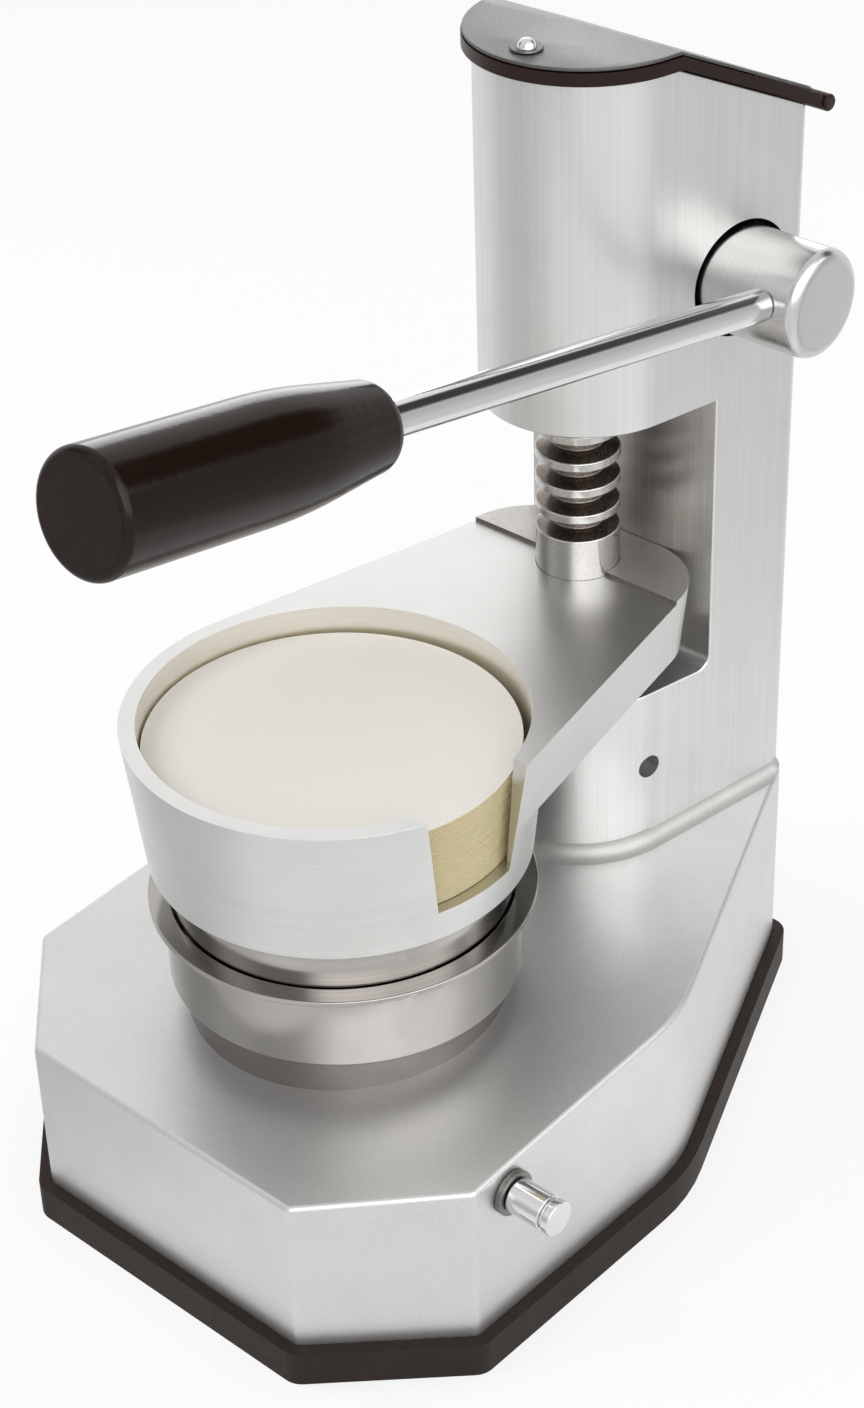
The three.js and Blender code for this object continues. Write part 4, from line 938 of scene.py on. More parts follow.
@dataclass
class Column:
    """The column: half-round foot and head on a spine that flares to the rear."""

    base: Base
    head_radius: float = 30.8
    head_centre: float = 108.8
    rear: float = 157.0
    flare: float = math.radians(10.8)
    corner_radius: float = 3.0
    foot_top: float = 127.3
    head_bottom: float = 217.5
    head_top: float = 321.7
    fall: float = math.tan(math.radians(25.6))
    ridge: float = 107.8
    spine_front: float = 125.6
    spine_facing: float = 0.9
    edge: float = 0.6
    edge_from: float = 90.0
    foot_gap: float = 0.05
    fillet: float = 4.6
    fillet_steps: int = 10
    fillet_root: float = 0.6
    fillet_sink: float = 1.5
    fillet_lifts: tuple[float, float] = (0.01, 0.04)
    fillet_inset: float = 0.15
    fillet_margin: float = 0.2
    window_fillet: float = 4.5
    bush_bore: float = 15.8
    hub_bore: float = 17.25
    hub_shoulder: float = 30.78
    axle_bore: float = 11.65
    axle_ends: tuple[float, float] = (-31.38, 35.78)
    pinion_room: float = 20.6
    pinion_half: float = 10.0
    collar_room: float = 14.0
    collar_half: float = 19.0
    screw_bore: float = 3.75
    screw_offset: float = 102.8
    screw_level: float = 101.0
    cap_screw_bore: float = 2.6
    cap_screw_depth: float = 20.0
    base_screw_ends: tuple[float, float] = (50.0, 99.4)

    def outline(self, inset: float = 0.0, rear_inset: float | None = None) -> list[Point]:
        """The outline from above.

        Args:
            inset: Distance inwards in mm.
            rear_inset: The rear face's own distance inwards.

        Returns:
            Anticlockwise points.
        """
        radius = self.head_radius - inset
        rear = self.rear - (inset if rear_inset is None else rear_inset)
        half = radius / math.cos(self.flare) + (rear - self.head_centre) * math.tan(self.flare)
        corner = max(self.corner_radius - inset, SMALLEST_RADIUS)
        front = arc(0, self.head_centre, radius, math.pi + self.flare, 2 * math.pi - self.flare)
        right = rounded_corner(front[-1], Corner(half, rear, corner), (-half, rear))
        left = [(-x, y) for x, y in reversed(right)]
        return front + right + left

    def head_height(self, lift: float = 0.0) -> Height:
        """The head's top, level to the ridge and falling behind it."""
        return lambda x, y: self.head_top + lift - max(0.0, y - self.ridge) * self.fall

    def flare_piece(self) -> bpy.types.Object:
        """The cast fillet that runs the foot out into the base's top.

        Returns:
            The fillet, for the column to be joined to.
        """
        root_lift, lift = self.fillet_lifts
        rings = [(self.fillet_root, self.fillet + root_lift)]
        for step in range(self.fillet_steps + 1):
            turn = math.pi / 2 * step / self.fillet_steps
            rings.append((-self.fillet * (1 - math.cos(turn)), self.fillet * (1 - math.sin(turn)) + lift))
        rings.append((-self.fillet, -self.fillet_sink))
        count = len(self.outline())
        vertices, faces = [], []
        for inset, rise in rings:
            height = self.base.top(rise)
            vertices += [(x, y, height(x, y)) for x, y in self.outline(inset)]
        for ring in range(len(rings) - 1):
            for k in range(count):
                after = (k + 1) % count
                faces.append((ring * count + k, (ring + 1) * count + k, (ring + 1) * count + after,
                              ring * count + after))
        faces.append(tuple(range(count)))
        faces.append(tuple(reversed(range((len(rings) - 1) * count, len(rings) * count))))
        fillet = piece("foot_fillet", vertices, faces)
        limit = prism("limit", self.base.outline(self.fillet_inset), flat(0), flat(FAR))
        return combined(fillet, [limit], "INTERSECT")

    def window(self) -> bpy.types.Object:
        """The opening between foot and head, its lower rear corner rounded.

        Returns:
            The opening, as a solid to cut with.
        """
        corner = arc(self.spine_front - self.window_fillet, self.foot_top + self.window_fillet,
                     self.window_fillet, -math.pi / 2, 0, ARC_STEP * 3)
        outline = [(0.0, self.foot_top), *corner, (self.spine_front, self.head_bottom),
                   (0.0, self.head_bottom)]
        return prism("window", outline, flat(-FAR), flat(FAR), place=moved(turn=SIDE_VIEW))

    def casting(self) -> bpy.types.Object:
        """The column as one casting.

        Returns:
            The casting.
        """
        body = prism("column_casting", self.outline(), self.base.top(self.foot_gap), self.head_height(),
                     self.ridge)
        combined(body, [self.window()])
        softened(body, self.edge, lambda a, b: min(a.z, b.z) > self.edge_from)
        combined(body, [self.flare_piece()], "UNION")
        base = self.base
        cuts = [bore(self.bush_bore, place=AT_SHAFT),
                bore(self.pinion_room, -self.pinion_half, self.pinion_half, AT_AXLE),
                bore(self.collar_room, -self.collar_half, self.collar_half, AT_AXLE),
                bore(self.axle_bore, *self.axle_ends, AT_AXLE),
                bore_at("cap_screw", self.cap_screw_bore, self.head_top - self.cap_screw_depth),
                bore(self.hub_bore, self.hub_shoulder, place=AT_AXLE, sides=FINE_SIDES),
                bore(self.screw_bore, 0, place=moved(0, self.screw_offset, self.screw_level, SIDEWAYS)),
                *bores_at("column_screw", base.column_screws, base.column_screw_bore, *self.base_screw_ends)]
        return smooth(combined(body, cuts))

    def build(self) -> None:
        """Builds and dresses the column."""
        def pick(middle: Vector, normal: Vector) -> int:
            """The spine's face, the fillet, or a wall.

            Args:
                middle: A face's middle, in mm.
                normal: Its normal.

            Returns:
                The number of its finish.
            """
            if abs(middle.y - self.spine_front) < NEAR and normal.y < -self.spine_facing:
                return 1
            # The fillet gets the rougher finish whose darker colour is painted shade.
            fillet_top = self.base.top(self.fillet - self.fillet_margin)
            return 2 if middle.z < fillet_top(middle.x, middle.y) else 0

        put(dress(self.casting(), WALL, SPINE, SHADED_FILLET, pick=pick), "frame", "cast_aluminium", "column")


@dataclass
class Cap:
    """The cap: a black plastic plate that stands out all round, and a grey plate on it."""

    column: Column
    overhang: float = 2.8
    rear_overhang: float = 6.2
    trim_low: float = 0.3
    trim_high: float = 4.0
    plate_low: float = 4.3
    plate_high: float = 5.3
    setback: float = 0.3
    bead: float = 2.45
    bead_half: float = 44.4
    trim_edge: float = 0.8
    plate_edge: float = 0.3
    screw_bore: float = 2.6
    screw_offset: float = 84.5
    screw_gap: float = 0.3
    shank_radius: float = 2.5
    shank_length: float = 20.0
    screw_radius: float = 4.6
    screw_chamfer: float = 0.2
    dome_radius: float = 2.8
    dome_steps: int = 12
    washer: float = 0.35
    screw_rise: float = 2.6

    def layer(self, name: str, low: float, high: float, setback: float, rear_setback: float
              ) -> bpy.types.Object:
        """One layer between two heights over the head's top.

        Args:
            name: The object's name.
            low: Lower height in mm.
            high: Upper height in mm.
            setback: How far its edge stays behind the cap's.
            rear_setback: The same at the rear.

        Returns:
            The layer.
        """
        outline = self.column.outline(setback - self.overhang, rear_setback - self.rear_overhang)
        return prism(name, outline, self.column.head_height(low), self.column.head_height(high),
                     self.column.ridge)

    def trim(self) -> bpy.types.Object:
        """The plastic plate with the round bead along its rear edge.

        Returns:
            The plate.
        """
        y = self.column.rear + self.rear_overhang - self.bead
        z = self.column.head_height((self.trim_low + self.trim_high) / 2)(0, y)
        bead = rod("bead", self.bead, -self.bead_half, self.bead_half, moved(0, y, z, SIDEWAYS))
        plate = self.layer("cap_edge", self.trim_low, self.trim_high, 0.0, 0.0)
        softened(combined(plate, [softened(bead, self.trim_edge)], "UNION"), self.trim_edge)
        return smooth(combined(plate, [bore_at("cap_screw", self.screw_bore)]))

    def screw_seat(self) -> float:
        """The level on which the screw's collar lies."""
        return self.column.head_top + self.plate_high + self.screw_gap

    def screw(self) -> bpy.types.Object:
        """The domed screw head in front, on its thin collar.

        Returns:
            The screw.
        """
        seat = self.screw_seat()
        rise = self.screw_rise - self.washer
        dome = (self.dome_radius ** 2 + rise ** 2) / (2 * rise)
        reach = math.asin(self.dome_radius / dome)
        profile = [(0.0, seat - self.shank_length), (self.shank_radius, seat - self.shank_length),
                   (self.shank_radius, seat), (self.screw_radius, seat),
                   (self.screw_radius - self.screw_chamfer, seat + self.washer)]
        for step in range(self.dome_steps):
            turn = reach * (1 - step / self.dome_steps)
            profile.append((dome * math.sin(turn), seat + self.screw_rise - dome * (1 - math.cos(turn))))
        profile.append((0.0, seat + self.screw_rise))
        return lathe("cap_dome_screw", profile, moved(0, self.screw_offset, 0), SMALL_SIDES)

    def build(self) -> None:
        """Builds and dresses the cap."""
        put(dress(self.trim(), TRIM), "frame", "black_plastic", "cap_trim")
        plate = self.layer("cap_top_plate", self.plate_low, self.plate_high, self.setback,
                           self.bead * 2 + self.setback)
        combined(softened(plate, self.plate_edge, segments=2), [bore_at("cap_screw", self.screw_bore)])
        put(dress(smooth(plate), CAP_PLATE), "frame", "grey_plate", "cap_plate")
        collar_top = self.screw_seat() + self.washer
        screw = dress(smooth(self.screw()), CAP_PLATE, CHROME,
                      pick=lambda middle, normal: int(middle.z > collar_top))
        put(screw, "frame", "chromed_steel", "cap_screw")


@dataclass
class Mould:
    """The steel mould that stands on the base."""

    bore: float = 50.0
    wall: float = 1.6
    flange: float = 4.4
    flange_thickness: float = 1.7
    bottom: float = 76.7
    height: float = 27.3
    floor: float = 2.0
    chamfer: float = 1.5
    sleeve_radius: float = 28.4
    sleeve_wall: float = 6.0
    sleeve_bottom: float = 49.0
    bush_bore: float = 9.0
    boss_radius: float = 12.0
    boss_bottom: float = 62.4
    edge: float = 0.45
    lock_bore: float = 4.3
    slot_half: float = 5.0
    slot_reach: float = 38.0
    slot_top: float = 53.5

    def cup(self) -> bpy.types.Object:
        """The turned cup, its sleeve and the boss of the rod's bush.

        Returns:
            The mould.
        """
        top = self.bottom + self.height
        outer = self.bore + self.wall
        inner = self.sleeve_radius - self.sleeve_wall
        floor = self.bottom + self.floor
        profile = [(self.bush_bore, self.boss_bottom), (self.boss_radius, self.boss_bottom),
                   (self.boss_radius, self.bottom), (inner, self.bottom), (inner, self.sleeve_bottom),
                   (self.sleeve_radius, self.sleeve_bottom), (self.sleeve_radius, self.bottom),
                   (outer - self.chamfer, self.bottom), (outer, self.bottom + self.chamfer),
                   (outer, top - self.flange_thickness), (outer + self.flange, top - self.flange_thickness),
                   (outer + self.flange, top), (self.bore, top), (self.bore, floor), (self.bush_bore, floor),
                   (self.bush_bore, self.boss_bottom)]
        body = lathe("mould", soft_profile(profile, self.edge, steps=3))
        slot = block("slot", (-self.slot_half, 0, 0), (self.slot_half, self.slot_reach, self.slot_top))
        return smooth(combined(body, [bore(self.lock_bore, place=AT_LOCK), slot]))

    def build(self) -> None:
        """Builds and dresses the mould."""
        put(dress(self.cup(), STAINLESS), "frame", "polished_steel", "mould_cup")


class ArmSide(IntEnum):
    """The arm's surfaces, in the order of their finishes."""

    CASTING = 0
    MILLED = 1
    TAIL = 2
    CUP = 3
    # The cup's inner wall, paler and warmer as a painted reflection of the paper.
    INSIDE = 4
    # The step's front face, dark with a painted shadow line.
    STEP = 5


@dataclass
class Arm:
    """The arm with its paper cup, the press plate under it and the paper discs in it."""

    top: float = 161.5
    thickness: float = 21.5
    cup_radius: float = 59.6
    cup_bottom_radius: float = 55.0
    cup_bottom: float = 118.4
    cup_bore: float = 54.8
    cup_floor: float = 128.0
    rear_half_width: float = 34.0
    rear: float = 125.2
    tail_radius: float = 24.0
    tail_step: float = 1.2
    step_at: float = 103.4
    cup_end: float = 45.0
    shaft_bore: float = 12.6
    setscrew_bore: float = 4.0
    setscrew_level: float = 150.5
    screw_bore: float = 4.3
    screw_head_bore: float = 6.8
    screw_seat: float = 122.7
    notch_top: float = 37.0
    notch_bottom: float = 27.0
    notch_turn: float = math.radians(-4)
    notch_overrun: float = 5.0
    notch_side: float = 50.0
    edge: float = 0.8
    plate_radius: float = 49.5
    plate_bottom: float = 103.0
    plate_top: float = 118.1
    plate_wall: float = 4.0
    plate_floor: float = 5.0
    plate_boss: float = 13.0
    plate_edge: float = 0.6
    plate_bore: float = 4.1
    plate_bore_floor: float = 105.0
    paper_radius: float = 53.5
    paper_top: float = 153.5
    paper_gap: float = 0.3
    paper_shift: tuple[float, float] = (-0.7, -0.5)
    disc_pitch: float = 0.6
    disc_share: float = 0.95
    disc_setback: float = 0.35
    disc_edge: float = 0.12
    disc_wander: float = 0.15
    seed: int = 7

    def draft(self) -> float:
        """How far the sides lean inwards for each mm downwards."""
        return (self.cup_radius - self.cup_bottom_radius) / (self.top - self.cup_bottom)

    def tangent(self) -> float:
        """Where the arm's right side leaves the cup.

        Returns:
            The angle from +X, in radians.
        """
        away = math.hypot(self.rear_half_width, self.rear)
        lean = math.atan2(self.rear_half_width, self.rear)
        return math.pi / 2 - lean - math.acos(self.cup_radius / away)

    def cup_arcs(self, level: float) -> tuple[list[Point], list[Point]]:
        """The cup's circle at a level, as its front part and the part inside the arm.

        Args:
            level: Height in mm.

        Returns:
            The front arc from left to right, and the rear arc without its ends.
        """
        radius = self.cup_radius - (self.top - level) * self.draft()
        start = self.tangent()
        front = arc(0, 0, radius, math.pi - start, 2 * math.pi + start)
        rear = arc(0, 0, radius, start, math.pi - start)
        return front, rear[1:-1]

    def tail(self, level: float) -> list[Point]:
        """The arm's two rear corners at a level.

        Args:
            level: Height in mm.

        Returns:
            The points, from right to left.
        """
        inset = (self.top - level) * self.draft()
        side = Vector((math.cos(self.tangent()), math.sin(self.tangent()))) * self.cup_radius
        corners = [Corner(side.x, side.y, 0.0), Corner(self.rear_half_width, self.rear, self.tail_radius),
                   Corner(-self.rear_half_width, self.rear, self.tail_radius), Corner(-side.x, side.y, 0.0)]
        right_side, right, left, left_side = inset_corners(corners, inset)
        return (rounded_corner((right_side.x, right_side.y), right, (left.x, left.y))
                + rounded_corner((right.x, right.y), left, (left_side.x, left_side.y)))

    def shell(self) -> bpy.types.Object:
        """The cup's cone and the arm with its leaning sides, as one form without its bores.

        Returns:
            The closed form.
        """
        low, high = self.top - self.thickness, self.top + self.tail_step
        low_front, low_rear = self.cup_arcs(low)
        rings = [self.cup_arcs(self.cup_bottom)[0] + self.cup_arcs(self.cup_bottom)[1], low_front + low_rear,
                 self.tail(low), self.cup_arcs(high)[0] + self.tail(high)]
        levels = [self.cup_bottom, low, low, high]
        vertices = [(x, y, level) for ring, level in zip(rings, levels) for x, y in ring]
        starts = [sum(len(ring) for ring in rings[:index]) for index in range(len(rings))]
        around, front, tail = len(rings[0]), len(low_front), len(rings[2])
        bottom, middle, under, top = (
            [starts[index] + k for k in range(len(ring))] for index, ring in enumerate(rings))
        faces = [tuple(bottom), tuple(top)]
        faces += [(bottom[k], bottom[(k + 1) % around], middle[(k + 1) % around], middle[k])
                  for k in range(around)]
        lower = middle[:front] + under
        faces += [(lower[k], lower[(k + 1) % (front + tail)], top[(k + 1) % (front + tail)], top[k])
                  for k in range(front + tail)]
        faces.append((middle[front - 1], *under, middle[0], *reversed(middle[front:])))
        return piece("press_arm_casting", vertices, faces)

    def notch(self) -> bpy.types.Object:
        """The finger notch, wider at the top, which runs outwards through the cup's wall.

        Returns:
            The notch, as a solid to cut with.
        """
        low, high = self.notch_bottom / 2, self.notch_top / 2
        above = self.top + self.notch_overrun
        outline = [(-low, self.cup_floor), (low, self.cup_floor), (high, self.top), (high, above),
                   (-high, above), (-high, self.top)]
        turn = Matrix.Rotation(self.notch_turn, 3, "Z") @ SIDE_VIEW
        return prism("notch", outline, flat(0), flat(FAR), place=moved(turn=turn))

    def casting(self) -> bpy.types.Object:
        """The arm and its cup as one casting.

        Returns:
            The casting.
        """
        cuts = [block("milled", (-FAR, -FAR, self.top), (FAR, self.step_at, FAR)),
                bore(self.cup_bore, self.cup_floor, sides=FINE_SIDES), self.notch(),
                bore(self.shaft_bore, place=AT_SHAFT), bore(self.screw_bore),
                bore(self.screw_head_bore, self.screw_seat),
                bore(self.setscrew_bore, 0, place=moved(0, SHAFT_Y, self.setscrew_level, REARWARDS))]
        body = combined(self.shell(), cuts)

        def chosen(a: Vector, b: Vector) -> bool:
            """Whether an edge lies round a top face, under the cup or at the notch, but not on the step.

            Args:
                a: One end, in mm.
                b: The other end, in mm.

            Returns:
                Whether it is rounded.
            """
            level = abs(a.z - b.z) < ON_LEVEL
            on_step = max(abs(a.y - self.step_at), abs(b.y - self.step_at)) < ON_LEVEL
            on_top = level and min(a.z, b.z) > self.top - ON_LEVEL and not on_step
            reach = min(a.xy.length, b.xy.length)
            at_foot = level and abs(a.z - self.cup_bottom) < ON_LEVEL and reach > self.screw_head_bore + NEAR
            at_notch = reach > self.cup_bore + CLEAR and min(a.x, b.x) > self.notch_side
            return on_top or at_foot or at_notch

        return smooth(softened(body, self.edge, chosen))

    def pick(self, middle: Vector, normal: Vector) -> ArmSide:
        """Which of the arm's surfaces a face belongs to.

        Args:
            middle: The face's middle, in mm.
            normal: Its normal.

        Returns:
            The surface.
        """
        reach = middle.xy.length
        # The inner wall takes the finish with the painted reflection of the paper.
        if abs(reach - self.cup_bore) < NEAR and abs(normal.z) < UPRIGHT:
            return ArmSide.INSIDE
        in_cup = reach < self.cup_radius + NEAR and middle.y < self.cup_end
        if normal.z > FACING and middle.z > self.top - self.tail_step and not in_cup:
            return ArmSide.TAIL if middle.y > self.step_at + NEAR else ArmSide.MILLED
        # The step's front face takes the painted shade finish.
        if abs(middle.y - self.step_at) < NEAR and normal.y < -FACING:
            return ArmSide.STEP
        return ArmSide.CUP if in_cup else ArmSide.CASTING

    def press_plate(self) -> bpy.types.Object:
        """The round plate that presses the meat, hollow above.

        Returns:
            The plate.
        """
        inner, floor = self.plate_radius - self.plate_wall, self.plate_bottom + self.plate_floor
        profile = [(0, self.plate_bottom), (self.plate_radius, self.plate_bottom),
                   (self.plate_radius, self.plate_top), (inner, self.plate_top), (inner, floor),
                   (self.plate_boss, floor), (self.plate_boss, self.plate_top),
                   (self.plate_bore, self.plate_top), (self.plate_bore, self.plate_bore_floor),
                   (0, self.plate_bore_floor)]
        return smooth(lathe("round_press_plate", soft_profile(profile, self.plate_edge, steps=3)))

    def paper(self) -> bpy.types.Object:
        """The pile of discs, drawn thicker than real paper so that the layers show.

        Returns:
            The pile.
        """
        bottom = self.cup_floor + self.paper_gap
        count = int((self.paper_top - bottom) / self.disc_pitch)
        pitch = (self.paper_top - bottom) / count
        radius, height = self.paper_radius - self.disc_setback, bottom + pitch * self.disc_share
        profile = soft_profile(stacked(bottom, (radius, height)), self.disc_edge, steps=2)
        disc = lathe("paper_discs", profile, moved(*self.paper_shift))
        return smooth(repeated(disc, PAPER_EDGE, count, pitch, self.disc_wander, self.seed))

    def build(self) -> None:
        """Builds and dresses the arm's pieces."""
        arm = dress(self.casting(), CASTING, MILLED, RAW_CASTING, CUP, CUP_INSIDE_PAINTED_REFLECTION, PAINTED_SHADE, pick=self.pick)
        put(arm, "press", "cast_aluminium", "press_arm")
        put(dress(self.press_plate(), STAINLESS), "press", "polished_steel", "press_plate")
        paper = dress(self.paper(), PAPER_EDGE, PAPER, pick=lambda middle, normal: int(normal.z > FACING))
        put(paper, "press", "waxed_paper", "paper_stack")


@dataclass
class Rack:
    """The round shaft with ring grooves for teeth."""

    radius: float = 12.5
    bottom: float = 15.836
    top: float = 279.5
    chamfer: float = 1.0
    module: float = 2.75
    first_groove: float = 177.5
    grooves: int = 12
    root: float = 7.5
    pitch_radius: float = 10.3
    pressure_angle: float = math.radians(20)
    backlash: float = 0.2
    overrun: float = 2.0
    sides: int = 96
    edge: float = 0.4
    shade_depth: float = 0.9
    slot_half: float = 4.3
    slot_top: float = 34.84
    pin_bore: float = 2.6
    pin_rise: float = 6.0

    def groove(self) -> bpy.types.Object:
        """What the turning tool takes away for the lowest groove.

        Returns:
            The ring, as a solid to cut with.
        """
        share = math.tan(self.pressure_angle)
        half = (math.pi * self.module + self.backlash) / 4
        tip = half + (self.radius - self.pitch_radius) * share
        root = half - (self.pitch_radius - self.root) * share
        out, middle = self.radius + self.overrun, self.first_groove
        profile = [(self.root, middle - root), (self.radius, middle - tip), (out, middle - tip),
                   (out, middle + tip), (self.radius, middle + tip), (self.root, middle + root),
                   (self.root, middle - root)]
        return lathe("groove", profile, AT_SHAFT, self.sides)

    def shaft(self) -> bpy.types.Object:
        """The whole shaft, its grooves copied up it by their pitch.

        Returns:
            The shaft.
        """
        profile = [(0.0, self.bottom), (self.radius - self.chamfer, self.bottom),
                   (self.radius, self.bottom + self.chamfer), (self.radius, self.top - self.chamfer),
                   (self.radius - self.chamfer, self.top), (0.0, self.top)]
        body = lathe("rack", profile, AT_SHAFT, self.sides)
        grooves = repeated(self.groove(), SHADED_GROOVES, self.grooves, math.pi * self.module)
        combined(body, [grooves])
        low, high = self.bottom + 2 * self.chamfer, self.top - 2 * self.chamfer
        softened(body, self.edge, lambda a, b: min(a.z, b.z) > low and max(a.z, b.z) < high)
        slot = block("slot", (-self.slot_half, 0, 0), (self.slot_half, FAR, self.slot_top))
        pin = bore(self.pin_bore, place=moved(0, SHAFT_Y, self.bottom + self.pin_rise, SIDEWAYS))
        return smooth(combined(body, [slot, pin]))

    def build(self) -> None:
        """Builds and dresses the shaft, with painted shade in its grooves."""
        def pick(middle: Vector, normal: Vector) -> int:
            """The grooves' inside, dark with painted shade, or the ground shaft and its end."""
            inside = math.hypot(middle.x, middle.y - SHAFT_Y) < self.radius - self.shade_depth
            return int(inside and normal.z < 1 - ON_LEVEL)

        shaft = dress(self.shaft(), GROUND_STEEL, SHADED_GROOVES, pick=pick)
        put(shaft, "press", "chromed_steel", "rack_shaft")


@dataclass
class Lever:
    """The hub, the rod and the grip."""

    hub_radius: float = 15.65
    hub_reach: float = 64.8
    hub_round: float = 3.4
    hub_round_step: float = math.radians(9)
    shoulder: float = 31.08
    axle_radius: float = 8.0
    pin_bore: float = 2.6
    pin_reach: float = 20.0
    rod_plane: float = 53.5
    tilt: float = math.radians(10.1)
    rod_radius: float = 4.75
    rod_gap: float = 0.3
    rod_edge: float = 0.3
    rod_end: float = 225.7
    stud_radius: float = 3.9
    stud_bore: float = 4.0
    stud_start: float = 4.0
    stud_end: float = 247.0
    stud_bore_start: float = 3.0
    stud_bore_end: float = 40.0
    grip_start: float = 169.5
    grip_shoulder: float = 201.5
    grip_end: float = 262.7
    grip_radius: float = 15.35
    neck_radius: float = 11.6
    grip_round: float = 2.2
    neck_round: float = 5.0
    round_step: float = math.radians(8)
    blend: float = 11.0
    blend_steps: int = 12
    grip_gap: float = 0.1
    pocket_radius: float = 7.0
    pocket_end: float = 248.3

    def place(self) -> Matrix:
        """Where the lever's own length starts, and which way it runs.

        Returns:
            The place, in mm.
        """
        along = Vector((0, -math.cos(self.tilt), math.sin(self.tilt)))
        across = Vector((1, 0, 0))
        basis = Matrix((across, along.cross(across), along)).transposed()
        return moved(self.rod_plane, AXLE_Y, AXLE_Z, basis)

    def hub(self) -> bpy.types.Object:
        """The turned hub and its axle.

        Returns:
            The hub.
        """
        profile: list[Point] = [(0, -self.shoulder), (self.axle_radius, -self.shoulder),
                                (self.axle_radius, self.shoulder), (self.hub_radius, self.shoulder)]
        profile += [(self.hub_radius - self.hub_round + x, self.hub_reach - self.hub_round + y)
                    for x, y in arc(0, 0, self.hub_round, 0, math.pi / 2, self.hub_round_step)]
        profile.append((0, self.hub_reach))
        body = lathe("hub", profile, AT_AXLE)
        bores = [bore(self.stud_bore, self.stud_bore_start, self.stud_bore_end, self.place()),
                 bore_at("pinion_pin", self.pin_bore, AXLE_Z - self.pin_reach, AXLE_Z + self.pin_reach)]
        return smooth(combined(body, bores))

    def bar(self) -> bpy.types.Object:
        """The chromed rod.

        Returns:
            The rod.
        """
        start = self.hub_radius + self.rod_gap
        profile = stacked(self.stud_start, (self.stud_radius, start), (self.rod_radius, self.rod_end),
                          (self.stud_radius, self.stud_end))
        profile = soft_profile(profile, self.rod_edge, steps=3)
        return smooth(lathe("chromed_rod", profile, self.place(), SMALL_SIDES))

    def grip(self) -> bpy.types.Object:
        """The tapered grip, its shoulder rounded as it is moulded, with the pocket of its sleeve.

        Returns:
            The grip.
        """
        hole = self.rod_radius + self.grip_gap
        neck = arc(self.neck_radius - self.neck_round, self.grip_start + self.neck_round, self.neck_round,
                   -math.pi / 2, 0, self.round_step)
        share = self.blend / (self.grip_shoulder - self.grip_start - self.neck_round)
        first = Vector((self.grip_radius - (self.grip_radius - self.neck_radius) * share,
                        self.grip_shoulder - self.blend))
        corner = Vector((self.grip_radius, self.grip_shoulder))
        last = Vector((self.grip_radius, self.grip_shoulder + self.blend))
        end = arc(self.grip_radius - self.grip_round, self.grip_end - self.grip_round, self.grip_round,
                  0, math.pi / 2, self.round_step)
        inside = [(0.0, self.grip_end), (0.0, self.pocket_end), (self.pocket_radius, self.pocket_end),
                  (self.pocket_radius, self.rod_end), (hole, self.rod_end), (hole, self.grip_start)]
        shoulder = bend(first, corner, last, self.blend_steps)
        profile = [(hole, self.grip_start), *neck, *shoulder, *end, *inside]
        return smooth(lathe("tapered_grip", profile, self.place()))

    def build(self) -> None:
        """Builds and dresses the lever."""
        put(dress(self.hub(), HUB_STEEL), "lever", "polished_steel", "lever_hub")
        put(dress(self.bar(), CHROME), "lever", "chromed_steel", "lever_rod")
        put(dress(self.grip(), BAKELITE), "lever", "black_plastic", "lever_grip")


@dataclass
class Lock:
    """The quarter-turn pin that holds the mould's sleeve."""

    wall: float = 87.0
    reach: float = 17.5
    edge: float = 0.45
    radius: float = 4.0
    tip: float = -18.0
    flat_end: float = 24.0
    knob: float = 5.25
    knob_gap: float = 2.6
    clip_radius: float = 3.3
    clip_groove: tuple[float, float] = (70.1, 71.7)
    knob_groove: tuple[float, float] = (3.6, 2.6)
    sleeve_bore: float = 4.1
    sleeve_radius: float = 6.0
    sleeve_start: float = 72.0
    sleeve_edge: float = 0.4
    flange_radius: float = 6.8
    flange_gap: float = 0.3
    flange: float = 2.0

    def pin(self) -> bpy.types.Object:
        """The pin and its knob, half of its tip cut away.

        Returns:
            The pin.
        """
        end = self.wall + self.reach
        start = self.wall + self.knob_gap
        clip_low, clip_high = self.clip_groove
        groove_low, groove_high = (end - depth for depth in self.knob_groove)
        profile = stacked(self.tip, (self.radius, clip_low), (self.clip_radius, clip_high),
                          (self.radius, start), (self.knob, groove_low), (self.radius, groove_high),
                          (self.knob, end))
        body = lathe("lock_knob", soft_profile(profile, self.edge, steps=3), AT_LOCK, SMALL_SIDES)
        return smooth(combined(body, [block("half", (-FAR, -FAR, -FAR), (self.flat_end, FAR, LOCK_Z))]))

    def sleeve(self) -> bpy.types.Object:
        """The flanged sleeve in the base's side.

        Returns:
            The sleeve.
        """
        low = self.wall + self.flange_gap
        high = low + self.flange
        profile = [(self.sleeve_bore, self.sleeve_start), (self.sleeve_radius, self.sleeve_start),
                   (self.sleeve_radius, low), (self.flange_radius, low), (self.flange_radius, high),
                   (self.sleeve_bore, high), (self.sleeve_bore, self.sleeve_start)]
        profile = soft_profile(profile, self.sleeve_edge, steps=3)
        return smooth(lathe("lock_sleeve", profile, AT_LOCK, SMALL_SIDES))

    def build(self) -> None:
        """Builds and dresses the lock."""
        put(dress(self.pin(), CHROME), "lock", "chromed_steel", "lock_pin")
        put(dress(self.sleeve(), OILED_STEEL), "frame", "polished_steel", "lock_bush")


